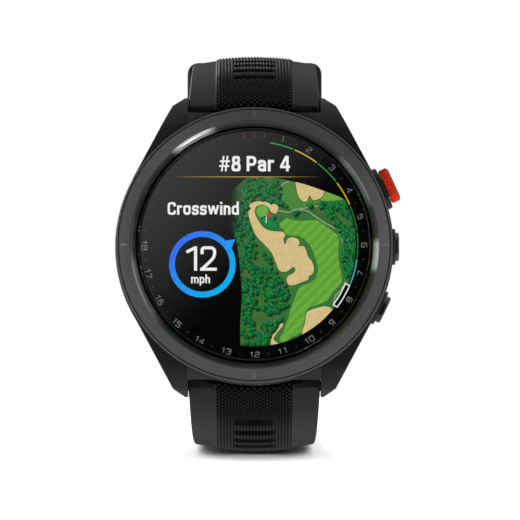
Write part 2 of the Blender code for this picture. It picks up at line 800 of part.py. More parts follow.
def buckle():
    """The bar, the U-shaped frame that swings on it and the tang that rests on the frame."""
    y, z = buckle_centre()
    frame = UPPER.frame((y, z), UPPER.length)
    at_bar = (0, y, z)
    bar = along_x(disc(BAR_R, -BUCKLE_ARM_OUT + 0.1, BUCKLE_ARM_OUT - 0.1, MID_STEPS), y, z)
    finish(bar, "buckle_bar", "steel", at_bar)

    # the side arms are stadiums in the (onward, outward) plane, extruded across the strap
    arm_r, cross_r = 1.3, 1.2
    across = Matrix(((0, 0, 1, 0), (1, 0, 0, 0), (0, 1, 0, 0), (0, 0, 0, 1)))
    side = pill(BUCKLE_REACH + 2 * arm_r, 2 * arm_r)
    side = [(x + BUCKLE_REACH / 2, n) for x, n in side]
    hole = disc(BAR_R + GAP, -20, 20, MID_STEPS)
    left = prism(side, -BUCKLE_ARM_OUT, -BUCKLE_ARM_IN)
    right = prism(side, BUCKLE_ARM_IN, BUCKLE_ARM_OUT)
    reach = BUCKLE_ARM_OUT - 0.5
    cross = shifted(disc(cross_r, -reach, reach, MID_STEPS), BUCKLE_REACH, 0, 0)
    body = cut(join(left, cross, right), hole)
    finish(moved(body, frame @ across), "buckle_frame", "gunmetal", at_bar)

    rest = cross_r + GAP
    prong = [
        (0.0, 0.0), (BUCKLE_REACH, rest), (BUCKLE_REACH + 1.6, rest + 0.1),
        (BUCKLE_REACH + 1.6, rest + 0.9), (BUCKLE_REACH, rest + 1.3), (0.0, 1.5),
    ]
    half = TANG_W / 2
    tang = moved(prism(prong, -half + 0.5, half - 0.5), across)
    tang = moved(join(moved(disc(1.6, -half, half, MID_STEPS), across), tang), frame)
    tang = cut(tang, along_x(disc(BAR_R + GAP, -20, 20, MID_STEPS), y, z))
    finish(tang, "buckle_tang", "steel", at_bar)


def keeper(name, s, origin):
    """A loop round the upper strap half, tall enough for both halves."""
    point, _, _ = UPPER.at(s)
    inner_half = strap_half_width(UPPER, s - KEEPER_W, 0) + GAP + 0.1
    wall = 1.2
    low, high = -STRAP_THICK - GAP - 0.1, STRAP_THICK + GAP
    half = KEEPER_W / 2
    loop = box((-inner_half - wall, -half, low - wall), (inner_half + wall, half, high + wall))
    opening = box((-inner_half, -9, low), (inner_half, 9, high))
    body = moved(cut(loop, opening), UPPER.frame(point, s))
    finish(body, name, "rubber", origin)


def keepers():
    """One loop fixed by the buckle and one that slides along the strap."""
    keeper("keeper_fixed", UPPER.length - 11.0, (0, -PIN_H, PIN_Z))
    # the sliding loop follows the strap's tail, so its axis is that arc's centre
    keeper("keeper_free", UPPER.length - 22.0, (0, ARC_Y, STRAP_TOP_Z - UPPER_TAIL_R))


case_middle()
bezel()
lens()
stack()
rear_cover()
charging()
rear_screws()
for button_name, sizes in BUTTONS.items():
    button(button_name, *sizes)
lug_pins()
strap_upper()
strap_lower()
buckle()
keepers()
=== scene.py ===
"""Looks for the golf watch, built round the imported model.

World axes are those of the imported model: the dial faces -Y, twelve o'clock is +Z and the
buttons are on the +X side. Shapes are worked out in millimetres. On the dial a place is
(x, up, h), where h is the height above the skin, and lies at the world point (x, -h, up).
"""
import math
import random

import bmesh
import bpy
from mathutils import Matrix, Vector, noise

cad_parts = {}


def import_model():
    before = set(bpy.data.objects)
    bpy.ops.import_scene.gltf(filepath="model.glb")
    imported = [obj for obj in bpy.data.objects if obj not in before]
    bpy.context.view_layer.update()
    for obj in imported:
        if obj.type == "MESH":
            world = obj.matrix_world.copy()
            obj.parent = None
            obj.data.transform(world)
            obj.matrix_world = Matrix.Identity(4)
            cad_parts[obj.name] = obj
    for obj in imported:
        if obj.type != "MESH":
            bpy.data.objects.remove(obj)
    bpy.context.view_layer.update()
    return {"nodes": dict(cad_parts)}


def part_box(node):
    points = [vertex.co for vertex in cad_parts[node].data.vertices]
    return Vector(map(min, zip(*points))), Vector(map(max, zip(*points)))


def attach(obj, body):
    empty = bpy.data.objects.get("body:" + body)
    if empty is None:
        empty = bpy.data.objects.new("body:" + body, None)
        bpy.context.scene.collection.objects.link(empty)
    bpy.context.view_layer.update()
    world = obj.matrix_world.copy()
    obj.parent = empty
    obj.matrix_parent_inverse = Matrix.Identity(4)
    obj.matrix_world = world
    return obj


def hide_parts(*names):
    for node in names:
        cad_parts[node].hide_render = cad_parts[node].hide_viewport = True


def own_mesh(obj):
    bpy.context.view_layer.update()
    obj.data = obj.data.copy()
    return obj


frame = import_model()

MM = 0.001
TURN = 2 * math.pi
SCENE = bpy.context.scene
DIAL = Matrix(((1, 0, 0, 0), (0, 0, -1, 0), (0, 1, 0, 0), (0, 0, 0, 1)))
ACROSS = Matrix(((0, 0, 1, 0), (1, 0, 0, 0), (0, 1, 0, 0), (0, 0, 0, 1)))
random.seed(11)


# ---------------------------------------------------------------- sizes, read from the frame


def corners(node):
    """Lowest and highest corner of a CAD node, mm."""
    low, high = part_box(node)
    return low / MM, high / MM


def radius_of(node):
    """How far a CAD node reaches from the dial's axis, mm."""
    places = (v.co for v in frame["nodes"][node].data.vertices)
    return max(math.hypot(p.x, p.z) for p in places) / MM


def heights_of(node):
    """Lowest and highest h of a CAD node, mm."""
    low, high = corners(node)
    return -high.y, -low.y


LENS_R = radius_of("lens")
LENS_BACK_H, LENS_FRONT_H = heights_of("lens")
BEZEL_R = radius_of("bezel")
BEZEL_BACK_H, BEZEL_CREST_H = heights_of("bezel")
CASE_FRONT_H = heights_of("case_middle")[1]
CASE_R = 23.4
CASE_BACK_H = 2.7
SCREEN_R = radius_of("display_panel")
SCREEN_BACK_H, SCREEN_H = heights_of("display_panel")
COVER_OUT_H, COVER_IN_H = 1.0, 2.4
WINDOW_R = radius_of("sensor_window")
PIN_HALF = corners("lug_pin_upper")[1].x
PIN_Z = (corners("lug_pin_upper")[0].z + corners("lug_pin_upper")[1].z) / 2
PIN_H = -(corners("lug_pin_upper")[0].y + corners("lug_pin_upper")[1].y) / 2
PIN_R = (corners("lug_pin_upper")[1].z - corners("lug_pin_upper")[0].z) / 2
STRAP_TOP_Z = corners("strap_upper")[1].z
GAP = 0.3
ARC_R, ARC_Y = 30.0, 14.3
ARC_Z = STRAP_TOP_Z - ARC_R
START_Z = 24.3
RIB_PITCH = 0.54
STRIP_HALF = 6.55
DOT_PITCH = 0.8
DOTS_END = 8.0


# ---------------------------------------------------------------- materials


def srgb(code):
    """A linear colour from a six-digit hex colour."""
    parts = [int(code[i:i + 2], 16) / 255 for i in (0, 2, 4)]
    return tuple(p / 12.92 if p <= 0.04045 else ((p + 0.055) / 1.055) ** 2.4 for p in parts)


def feed(tree, made, inputs):
    """Set a node's inputs: plain values, or the sockets to take them from."""
    for key, value in inputs.items():
        if isinstance(value, bpy.types.NodeSocket):
            tree.links.new(value, made.inputs[key])
        else:
            made.inputs[key].default_value = value


def node(tree, kind, inputs=None, **settings):
    """Add a shader node and feed its inputs."""
    made = tree.nodes.new("ShaderNode" + kind)
    for key, value in settings.items():
        setattr(made, key, value)
    feed(tree, made, inputs or {})
    return made


def blank(name):
    """A material with its node tree and Principled shader."""
    look = bpy.data.materials.new(name)
    look.use_nodes = True
    return look, look.node_tree, look.node_tree.nodes["Principled BSDF"]


def mixed(tree, factor, one, two):
    """Mix two colours, given as sockets or linear triples."""
    one, two = (c if isinstance(c, bpy.types.NodeSocket) else (*c, 1.0) for c in (one, two))
    return node(tree, "Mix", {0: factor, 6: one, 7: two}, data_type="RGBA").outputs[2]


def calc(tree, operation, one, two=0.0):
    """The output of one maths node."""
    return node(tree, "Math", {0: one, 1: two}, operation=operation).outputs["Value"]


def own_place(tree):
    """The object's own coordinates."""
    return node(tree, "TexCoord").outputs["Object"]


def split(tree, vector):
    """The X, Y and Z outputs of a vector."""
    return node(tree, "SeparateXYZ", {"Vector": vector}).outputs


def clouds(tree, place, size, detail):
    """Noise with patches of a size in mm."""
    inputs = {"Vector": place, "Scale": 1 / (size * MM), "Detail": detail}
    return node(tree, "TexNoise", inputs).outputs["Fac"]


def remap(tree, value, start=0.0, end=1.0, low=0.0, high=1.0, **settings):
    """Carry the range from start to end over to the range from low to high."""
    inputs = {"Value": value, "From Min": start, "From Max": end, "To Min": low, "To Max": high}
    return node(tree, "MapRange", inputs, **settings).outputs["Result"]


def bumped(tree, height, strength, depth):
    """A normal with relief; the depth is in mm."""
    inputs = {"Height": height, "Strength": strength, "Distance": depth * MM}
    return node(tree, "Bump", inputs).outputs["Normal"]


def wave(tree, turns):
    """The cosine of an angle given in turns."""
    return calc(tree, "COSINE", calc(tree, "MULTIPLY", turns, TURN))


def grey(level):
    """A neutral linear colour."""
    return (level, level, level)


def shade(colour, factor):
    """A colour made lighter or darker."""
    return tuple(min(c * factor, 1.0) for c in colour)


def surface(name, colour, rough, metal=0.0, grain=0.12, bump=0.25, vary=0.25, drift=6.0,
            sharp_edge_colour=None, stretch=(1, 1, 1), specular=0.5, spread=0.12):
    """A look with fine grain, slow colour drift, uneven gloss and lighter sharp edges.

    grain and drift are sizes in mm; stretch draws the grain out along an axis.
    """
    look, tree, shader = blank(name)
    place = own_place(tree)
    scaled = node(tree, "Mapping", {"Vector": place, "Scale": stretch}).outputs["Vector"]
    fine = clouds(tree, scaled, grain, 3.0)
    slow = clouds(tree, place, drift, 4.0)
    body = mixed(tree, slow, shade(colour, 1 - vary), shade(colour, 1 + vary))
    body = mixed(tree, fine, body, shade(colour, 1 + vary / 2))
    # Sharp convex edges, found by pointiness, are mixed towards a lighter colour.
    if sharp_edge_colour:
        edge = node(tree, "NewGeometry").outputs["Pointiness"]
        body = mixed(tree, remap(tree, edge, 0.53, 0.62, high=0.6), body, sharp_edge_colour)
    gloss = remap(tree, fine, 0.3, 0.7, max(rough - spread, 0.02), min(rough + spread, 1.0))
    feed(tree, shader, {
        "Base Color": body, "Roughness": gloss, "Metallic": metal,
        "Specular IOR Level": specular, "Normal": bumped(tree, fine, bump, grain * 0.4),
    })
    return look


# Painted reflections of the studio lights on the bevel, as wedge shapes: clockwise angle and half
# width in degrees, strength.
PAINTED_REFLECTION_WEDGES = ((-30, 13, 1.0), (95, 9, 0.85), (58, 16, 0.25), (-112, 20, 0.2))


def wedges(tree, x, z):
    """A mask of painted reflections: soft wedge-shaped patches on the dial."""
    clock = calc(tree, "ARCTAN2", x, z)
    total = 0.0
    for angle, half, strength in PAINTED_REFLECTION_WEDGES:
        off = calc(tree, "ABSOLUTE", calc(tree, "SUBTRACT", clock, math.radians(angle)))
        soft = remap(tree, off, math.radians(half), math.radians(half * 0.5), high=strength,
                     interpolation_type="SMOOTHSTEP")
        total = calc(tree, "ADD", soft, total)
    return total


def brushed_ring(name, colour, rough, metal, lines=0.05, bump=0.1, turning=0.6, bright=None):
    """A turned look: fine circular lines round the dial's axis, with painted reflections as
    lighter wedge-shaped patches when a colour for them is given.
    """
    look, tree, shader = blank(name)
    place = own_place(tree)
    apart = split(tree, place)
    flat = node(tree, "CombineXYZ", {"X": apart["X"], "Y": apart["Z"]}).outputs["Vector"]
    reach = node(tree, "VectorMath", {0: flat}, operation="LENGTH").outputs["Value"]
    lathe = node(tree, "TexNoise", {"W": reach, "Scale": 1 / (lines * MM), "Detail": 2.0},
                 noise_dimensions="1D").outputs["Fac"]
    body = mixed(tree, clouds(tree, place, 4, 5.0), shade(colour, 0.8), shade(colour, 1.2))
    body = mixed(tree, lathe, body, shade(colour, 1.25))
    # Painted reflections: the base colour is lifted towards the given colour in wedge-shaped
    # patches.
    if bright:
        body = mixed(tree, wedges(tree, apart["X"], apart["Z"]), body, bright)
    around = node(tree, "Tangent", direction_type="RADIAL", axis="Y").outputs["Tangent"]
    feed(tree, shader, {
        "Base Color": body, "Roughness": remap(tree, lathe, low=rough * 0.85, high=rough * 1.15),
        "Tangent": around, "Anisotropic": turning, "Metallic": metal,
        "Normal": bumped(tree, lathe, bump, 0.01),
    })
    return look


def cover_glass():
    """Clear glass with a faint smeared gloss and a painted reflection: a soft glow where the
    mirror direction points up left, as of a card there.

    Only the front of the glass shines; its back and the lower rim let all light through.
    """
    look, tree, shader = blank("cover_glass")
    tree.nodes.remove(shader)
    place = own_place(tree)
    smear = remap(tree, clouds(tree, place, 9, 6.0), low=0.01, high=0.035)
    shine = node(tree, "BsdfGlossy", {"Roughness": smear}).outputs["BSDF"]
    through = node(tree, "BsdfTransparent", {"Color": (0.97, 0.975, 0.98, 1.0)}).outputs["BSDF"]
    facing = node(tree, "Fresnel", {"IOR": 1.5}).outputs["Fac"]
    front = calc(tree, "LESS_THAN", split(tree, place)["Y"], -(LENS_BACK_H + 0.2) * MM)
    amount = calc(tree, "MULTIPLY", facing, front)
    both = node(tree, "MixShader", {0: amount, 1: through, 2: shine}).outputs["Shader"]
    # Painted reflection: an emission, not a reflection of anything in the scene, shown where the
    # mirror direction points up left and ahead.
    bounce = split(tree, node(tree, "TexCoord").outputs["Reflection"])
    slant = calc(tree, "SUBTRACT", bounce["Z"], bounce["X"])
    painted_reflection_patch = remap(tree, slant, 0.054, 0.084, interpolation_type="SMOOTHSTEP")
    ahead = calc(tree, "LESS_THAN", bounce["Y"], -0.97)
    strength = calc(tree, "MULTIPLY", calc(tree, "MULTIPLY", painted_reflection_patch, ahead), amount)
    painted_reflection_glow = node(tree, "Emission", {"Strength": strength}).outputs["Emission"]
    total = node(tree, "AddShader", {0: both, 1: painted_reflection_glow}).outputs["Shader"]
    feed(tree, tree.nodes["Material Output"], {"Surface": total})
    return look


def sensor_glass():
    """Dark tinted glass with a faint coating drift."""
    look = surface("sensor_glass", (0.006, 0.006, 0.008), 0.08, grain=3.0, bump=0.01,
                   vary=0.5, spread=0.04)
    shader = look.node_tree.nodes["Principled BSDF"]
    feed(look.node_tree, shader, {"Coat Weight": 1.0, "Coat Roughness": 0.03})
    return look


def lit_screen():
    """The screen's picture: light painted per face, with a fine pixel raster."""
    look, tree, shader = blank("lit_screen")
    paint = node(tree, "Attribute", attribute_name="paint").outputs["Color"]
    level = remap(tree, clouds(tree, own_place(tree), 0.35, 3.0), 0.3, 0.7, 0.9, 1.1)
    light = node(tree, "Mix", {0: 1.0, 6: paint, 7: level}, data_type="RGBA",
                 blend_type="MULTIPLY").outputs[2]
    feed(tree, shader, {
        "Emission Color": light, "Emission Strength": 1.0, "Roughness": 0.35,
        "Base Color": (0.004, 0.004, 0.005, 1.0), "Specular IOR Level": 0.1,
    })
    return look


def ribbed_rubber(name, colour):
    """Strap rubber whose grooves, between the ribs and dots, are dull and carry painted shade."""
    look = surface(name, colour, 0.46, grain=0.09, bump=0.3, vary=0.3, drift=9.0, spread=0.08)
    tree = look.node_tree
    shader = tree.nodes["Principled BSDF"]
    place = split(tree, own_place(tree))
    column = calc(tree, "DIVIDE", place["X"], RIB_PITCH * MM)
    rib = calc(tree, "MULTIPLY_ADD", wave(tree, column), 0.5)
    rib.node.inputs[2].default_value = 0.5
    over = calc(tree, "SUBTRACT", calc(tree, "ABSOLUTE", place["Z"]), ARC_Z * MM)
    lean = calc(tree, "ARCTAN2", calc(tree, "SUBTRACT", ARC_Y * MM, place["Y"]), over)
    start = math.acos((START_Z - ARC_Z) / ARC_R)
    along = calc(tree, "MULTIPLY", calc(tree, "SUBTRACT", start, lean), ARC_R)
    odd = calc(tree, "MODULO", calc(tree, "ABSOLUTE", calc(tree, "ROUND", column)), 2.0)
    phase = calc(tree, "ADD", calc(tree, "DIVIDE", along, DOT_PITCH),
                 calc(tree, "MULTIPLY", odd, 0.5))
    dot = remap(tree, wave(tree, phase), -0.5, 0.5)
    line = remap(tree, along, DOTS_END - 2.5, DOTS_END + 2.0)
    crest = calc(tree, "MULTIPLY", rib, calc(tree, "MAXIMUM", dot, line))
    outside = calc(tree, "GREATER_THAN", calc(tree, "ABSOLUTE", place["X"]), STRIP_HALF * MM)
    crest = calc(tree, "MAXIMUM", crest, outside)
    # Painted shade: the grooves between the crests get a fifth of the rubber's colour.
    body = shader.inputs["Base Color"].links[0].from_socket
    feed(tree, shader, {
        "Specular IOR Level": remap(tree, crest, low=0.05, high=0.4),
        "Base Color": mixed(tree, crest, shade(colour, 0.2), body),
    })
    return look


def circuit_board():
    """Green solder resist with copper tracks and pads."""
    look, tree, shader = blank("circuit_board")
    place = own_place(tree)
    tracks = node(tree, "TexBrick", {
        "Vector": place, "Scale": 1 / (1.1 * MM), "Color1": (0.01, 0.10, 0.05, 1),
        "Color2": (0.015, 0.14, 0.07, 1), "Mortar": (0.03, 0.22, 0.11, 1),
        "Mortar Size": 0.06,
    })
    pads = node(tree, "TexVoronoi", {"Vector": place, "Scale": 1 / (1.6 * MM)})
    near = calc(tree, "LESS_THAN", pads.outputs["Distance"], 0.16)
    body = mixed(tree, near, tracks.outputs["Color"], (0.75, 0.5, 0.2))
    feed(tree, shader, {"Base Color": body, "Metallic": near, "Roughness": 0.4})
    return look


BLACK = (0.008, 0.008, 0.0083)
SILICONE = (0.0075, 0.0075, 0.0078)
LOOKS = {
    "polymer": surface("polymer", BLACK, 0.5, grain=0.16, bump=0.35, sharp_edge_colour=grey(0.05)),
    "guard": surface("guard", grey(0.008), 0.45, grain=0.1, sharp_edge_colour=grey(0.03)),
    "face": brushed_ring("bezel_face", (0.07, 0.07, 0.071), 0.3, 0.5),
    # The polished bevel carries painted reflections of the studio lights in its base colour.
    "polish": brushed_ring("bezel_polish", (0.045, 0.045, 0.0455), 0.13, 0.6, bump=0.03,
                           turning=0.3, bright=(0.75, 0.75, 0.76)),
    "inlay": surface("bezel_inlay", grey(0.12), 0.4, metal=0.4, grain=0.05),
    "engraved": surface("engraved", grey(0.008), 0.6, grain=0.05),
    "glass": cover_glass(),
    "mask": surface("lens_mask", (0.002, 0.002, 0.0022), 0.4, grain=0.3, bump=0.0, vary=0.3,
                    specular=0.1),
    "print": surface("dial_print", grey(0.4), 0.6, grain=0.05, bump=0.1),
    "faint_print": surface("faint_print", grey(0.1), 0.6, grain=0.05, bump=0.1),
    "red_print": surface("red_print", (0.4, 0.02, 0.01), 0.6, grain=0.05, bump=0.1),
    "rubber": surface("strap_rubber", SILICONE, 0.46, grain=0.09, bump=0.3,
                      vary=0.3, drift=9.0, sharp_edge_colour=(0.035, 0.035, 0.036), spread=0.08),
    # The ribbed rubber carries painted shade in its grooves.
    "ribbed": ribbed_rubber("ribbed_rubber", SILICONE),
    "seal": surface("seal_rubber", grey(0.02), 0.7, grain=0.08),
    "steel": surface("steel", (0.5, 0.5, 0.51), 0.3, metal=1.0, grain=0.05, bump=0.2,
                     vary=0.12, stretch=(0.06, 1, 1)),
    "gunmetal": surface("gunmetal", (0.13, 0.13, 0.132), 0.3, metal=1.0, grain=0.05,
                        bump=0.12, vary=0.2, sharp_edge_colour=grey(0.35), stretch=(1, 1, 0.15)),
    "red_metal": surface("red_metal", (1.0, 0.045, 0.006), 0.36, metal=0.4, grain=0.07,
                         bump=0.2, vary=0.25, sharp_edge_colour=(1.0, 0.15, 0.06)),
    "gold": surface("gold", (0.9, 0.6, 0.22), 0.25, metal=1.0, grain=0.1, bump=0.1,
                    vary=0.15),
    "board": circuit_board(),
    "foil": surface("foil", (0.5, 0.5, 0.52), 0.38, metal=0.8, grain=0.5, bump=0.5,
                    vary=0.1),
    "sensor": sensor_glass(),
    "led": surface("sensor_led", (0.10, 0.16, 0.09), 0.3, grain=0.1, bump=0.1),
    "diode": surface("sensor_diode", (0.05, 0.03, 0.04), 0.25, grain=0.1, bump=0.1),
    "screen": lit_screen(),
}


# ---------------------------------------------------------------- mesh tools


def outline_of(text):
    """Flat places written as "x y, x y, ..."."""
    return [tuple(float(word) for word in place.split()) for place in text.split(",")]


def smooth_curve(points, steps=5, closed=True):
    """Points of a smooth curve that passes through the given ones."""
    count = len(points)
    spans = count if closed else count - 1
    done = []
    for i in range(spans):
        if closed:
            picks = [(i + k) % count for k in (-1, 0, 1, 2)]
        else:
            picks = [min(max(i + k, 0), count - 1) for k in (-1, 0, 1, 2)]
        a, b, c, d = (Vector(points[p]) for p in picks)
        for j in range(steps):
            t = j / steps
            done.append(0.5 * (
                2 * b + (c - a) * t + (2 * a - 5 * b + 4 * c - d) * t * t
                + (3 * b - 3 * c + d - a) * t ** 3
            ))
    if not closed:
        done.append(Vector(points[-1]))
    return done


def rounded(points, radius, steps=4, closed=True):
    """An outline or an open path with its corners rounded off."""
    count = len(points)
    done = []
    for i in range(count):
        here = Vector(points[i])
        if not closed and i in (0, count - 1):
            done.append(here)
            continue
        before = Vector(points[i - 1]) - here
        after = Vector(points[(i + 1) % count]) - here
        reach = min(radius, before.length * 0.48, after.length * 0.48)
        one, two = here + before.normalized() * reach, here + after.normalized() * reach
        for j in range(steps + 1):
            t = j / steps
            done.append((1 - t) ** 2 * one + 2 * t * (1 - t) * here + t * t * two)
    return done


def arc(centre, radius, start, end, steps):
    """Points along an arc, both ends included."""
    turn = (end - start) / steps
    return [
        Vector((centre[0] + radius * math.cos(start + i * turn),
                centre[1] + radius * math.sin(start + i * turn)))
        for i in range(steps + 1)
    ]


def pill(length, width, steps=12):
    """A stadium outline with its long side along x."""
    reach = (length - width) / 2
    right = arc((reach, 0), width / 2, -math.pi / 2, math.pi / 2, steps)
    return right + arc((-reach, 0), width / 2, math.pi / 2, math.pi * 3 / 2, steps)


def ring_outline(inner, outer, low, high):
    """The (r, h) outline of a plain ring."""
    return [(inner, low), (outer, low), (outer, high), (inner, high)]


def block_outline(width, height, radius, steps=4):
    """A rectangle with rounded corners, centred."""
    w, h = width / 2, height / 2
    return rounded([(w, -h), (w, h), (-w, h), (-w, -h)], radius, steps)


def inset(outline, depth):
    """Move each point of a closed anticlockwise outline inward."""
    done = []
    for i, here in enumerate(outline):
        along = Vector(outline[(i + 1) % len(outline)]) - Vector(outline[i - 1])
        inward = Vector((-along.y, along.x)).normalized()
        done.append(Vector(here) + inward * depth)
    return done


def loft(bm, rings, look=0, caps=True, cyclic=False):
    """Skin a row of closed point rings; returns the new faces."""
    made = [[bm.verts.new(p) for p in ring] for ring in rings]
    pairs = list(zip(made, made[1:]))
    if cyclic:
        pairs.append((made[-1], made[0]))
    faces = []
    for one, two in pairs:
        for i in range(len(one)):
            j = (i + 1) % len(one)
            faces.append(bm.faces.new((one[i], one[j], two[j], two[i])))
    if caps:
        faces.append(bm.faces.new(made[0]))
        faces.append(bm.faces.new(made[-1]))
    for face in faces:
        face.material_index = look
    return faces


def turned(bm, profile, steps=192, place=DIAL, look=0, looks=None):
    """Turn a closed (r, h) outline about the local Z axis; looks gives a look per edge."""
    rings = []
    for i in range(steps):
        c, s = math.cos(TURN * i / steps), math.sin(TURN * i / steps)
        rings.append([place @ Vector((p[0] * c, p[0] * s, p[1])) for p in profile])
    faces = loft(bm, rings, look, caps=False, cyclic=True)
    if looks:
        for i, face in enumerate(faces):
            face.material_index = looks[i % len(profile)]
    return faces


def raised(bm, outline, low, high, place=DIAL, look=0, edge=0.2, edge_low=0.0, steps=3):
    """Extrude an outline between two heights and round its rims."""
    rings = []
    for size, end, side in ((edge_low, low, 1), (edge, high, -1)):
        turns = [i / steps for i in range(steps + 1)] if size else [1.0]
        if side < 0:
            turns.reverse()
        for t in turns:
            lean = t * math.pi / 2
            shape = inset(outline, size * (1 - math.sin(lean)))
            height = end + side * size * (1 - math.cos(lean))
            rings.append([place @ Vector((p[0], p[1], height)) for p in shape])
    return loft(bm, rings, look)


def show(name, data):
    """Put data into the scene as an object."""
    ob = bpy.data.objects.new(name, data)
    SCENE.collection.objects.link(ob)
    return ob


def mesh_of(bm, name="work"):
    """Clean a mesh up, hand it over to Blender and free it."""
    bmesh.ops.remove_doubles(bm, verts=bm.verts, dist=1e-5)
    bmesh.ops.recalc_face_normals(bm, faces=bm.faces)
    mesh = bpy.data.meshes.new(name)
    bm.to_mesh(mesh)
    bm.free()
    return mesh


def prism(outline, low, high, place=DIAL):
    """An outline extruded between two heights, used as a cutter or a base."""
    bm = bmesh.new()
    raised(bm, outline, low, high, place, edge=0)
    return bm


def lathed(profile, steps, place=DIAL):
    """A turned outline as a mesh of its own."""
    bm = bmesh.new()
    turned(bm, profile, steps, place)
    return bm


def on_dial(x, up):
    """A frame at a place of the dial plane."""
    return DIAL @ Matrix.Translation((x, up, 0))


def boolean(bm, tools, operation="DIFFERENCE"):
    """Apply exact Booleans to a mesh; tools are meshes too and are used up."""
    made = [show("work", mesh_of(part)) for part in [bm] + tools]
    for tool in made[1:]:
        step = made[0].modifiers.new("tool", "BOOLEAN")
        step.operation = operation
        step.solver = "EXACT"
        step.object = tool
    graph = bpy.context.evaluated_depsgraph_get()
    mesh = bpy.data.meshes.new_from_object(made[0].evaluated_get(graph))
    for ob in made:
        bpy.data.objects.remove(ob)
    done = bmesh.new()
    done.from_mesh(mesh)
    return done


def joined(parts):
    """Put several meshes into one, without cutting them."""
    whole = bmesh.new()
    for part in parts:
        mesh = mesh_of(part)
        whole.from_mesh(mesh)
        bpy.data.meshes.remove(mesh)
    return whole


def piece(name, bm, looks, body, replaces=(), smooth=32.0):
    """Turn a mesh in world mm into a shown piece that rides on a body."""
    mesh = mesh_of(bm, name)
    mesh.transform(Matrix.Scale(MM, 4))
    for look in looks:
        mesh.materials.append(LOOKS[look])
    mesh.shade_smooth()
    mesh.set_sharp_from_angle(angle=math.radians(smooth))
    ob = show(name, mesh)
    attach(ob, body)
    if replaces:
        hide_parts(*replaces)
    return ob


def box_mesh(low, high, place=None):
    """A plain block, used as a cutter."""
    bm = bmesh.new()
    low, high = Vector(low), Vector(high)
    bmesh.ops.create_cube(bm, size=1.0, matrix=(
        Matrix.Translation((low + high) / 2) @ Matrix.Diagonal((*(high - low), 1))
    ))
    if place:
        bm.transform(place)
    return bm


def disc_mesh(radius, low, high, place=DIAL, steps=64):
    """A plain disc between two heights, used as a cutter or a base."""
    bm = bmesh.new()
    middle = Matrix.Translation((0, 0, (low + high) / 2))
    bmesh.ops.create_cone(bm, cap_ends=True, segments=steps, radius1=radius, radius2=radius,
                          depth=high - low, matrix=place @ middle)
    return bm


# ---------------------------------------------------------------- case


CAVITY_R = 18.6
FLANGE_R = 18.0
LUG_GAP = 11.2
UNDERCUT_Z = 21.0
UNDERCUT_H = 8.0
LUG_TIP_Z = 25.3
LUG_CORNER = (13.8, 23.75)


def lug(x_side, z_side):
    """One lug, with every edge rounded."""
    corner_angle = math.atan2(LUG_CORNER[1], LUG_CORNER[0])
    touch_angle = corner_angle - math.acos(CASE_R / math.hypot(*LUG_CORNER))
    touch = (CASE_R * math.cos(touch_angle), CASE_R * math.sin(touch_angle))
    plan = [(LUG_GAP, 14.0), (17.0, 12.0), touch, LUG_CORNER,
            (LUG_GAP + 0.4, LUG_TIP_Z), (LUG_GAP, LUG_TIP_Z)]
    side = [
        (8.0, CASE_FRONT_H - 0.1), (20.6, CASE_FRONT_H - 0.3), (22.6, 9.7), (24.2, 8.1),
        (LUG_TIP_Z, 6.0), (LUG_TIP_Z + 0.1, 3.5), (24.6, 1.7), (22.4, 0.9), (8.0, 1.5),
    ]
    outline = [(-h, z) for z, h in reversed(rounded(side, 0.8, 3))]
    body = boolean(prism(plan, -1.0, CASE_FRONT_H + 1), [prism(outline, 0.0, 30.0, ACROSS)],
                   "INTERSECT")
    bmesh.ops.remove_doubles(body, verts=body.verts, dist=1e-4)
    bmesh.ops.dissolve_limit(body, angle_limit=math.radians(1), verts=body.verts,
                             edges=body.edges)
    sharp = [e for e in body.edges if e.is_manifold and e.calc_face_angle() > 0.5]
    bmesh.ops.bevel(body, geom=sharp, offset=0.35, segments=3, affect="EDGES",
                    profile=0.6, clamp_overlap=True)
    body = boolean(body, [disc_mesh(22.0, -2, 14)])
    body.transform(Matrix.Diagonal((x_side, 1, z_side, 1)))
    return body


def screw_places():
    """The four rear screws, (x, up)."""
    places = []
    for i in range(1, 5):
        low, high = corners(f"rear_screw_{i}")
        places.append(((low.x + high.x) / 2, (low.z + high.z) / 2))
    return places


def cover_shape(grow, low, high):
    """The rear cover's plan as cutters: a disc and four screw ears."""
    shapes = [disc_mesh(22.0 + grow, low, high, steps=160)]
    for x, z in screw_places():
        shapes.append(disc_mesh(2.0 + grow, low, high, on_dial(x, z), 40))
    return shapes


def notches(low, high):
    """Blocks that clear the space between the lugs."""
    half = LUG_GAP
    return [
        box_mesh((-half, -high, UNDERCUT_Z), (half, -low, UNDERCUT_Z + 12)),
        box_mesh((-half, -high, -UNDERCUT_Z - 12), (half, -low, -UNDERCUT_Z)),
    ]


def button_frame(angle, height):
    """Local X along the rim, Y forward and Z outward through a button."""
    c, s = math.cos(angle), math.sin(angle)
    return Matrix(((-s, 0, c, 0), (0, -1, 0, -height), (c, 0, s, 0), (0, 0, 0, 1)))


class Button:
    """Places of one button, read from its CAD nodes."""

    def __init__(self, name, angle):
        self.name = name
        low, high = corners(f"button_{name}_cap")
        self.height = -(low.y + high.y) / 2
        self.frame = button_frame(math.radians(angle), self.height)
        rim = [p for p in self.spots("cap") if p.z > 21]
        self.cap_out = max(p.z for p in rim)
        self.length = 2 * max(p.x for p in rim)
        self.width = 2 * max(p.y for p in rim)
        guard = self.spots("guard")
        self.guard_out = max(p.z for p in guard)
        self.guard_low = min(p.z for p in guard)
        self.guard_length = 2 * max(p.x for p in guard)
        self.guard_width = 2 * max(p.y for p in guard)

    def spots(self, part):
        """The vertices of one of the button's CAD nodes, in the button's frame."""
        back = self.frame.inverted()
        mesh = frame["nodes"][f"button_{self.name}_{part}"].data
        return [back @ (v.co / MM) for v in mesh.vertices]


BUTTONS = [Button("upper", 24.5), Button("middle", 0.0), Button("lower", -26.0)]


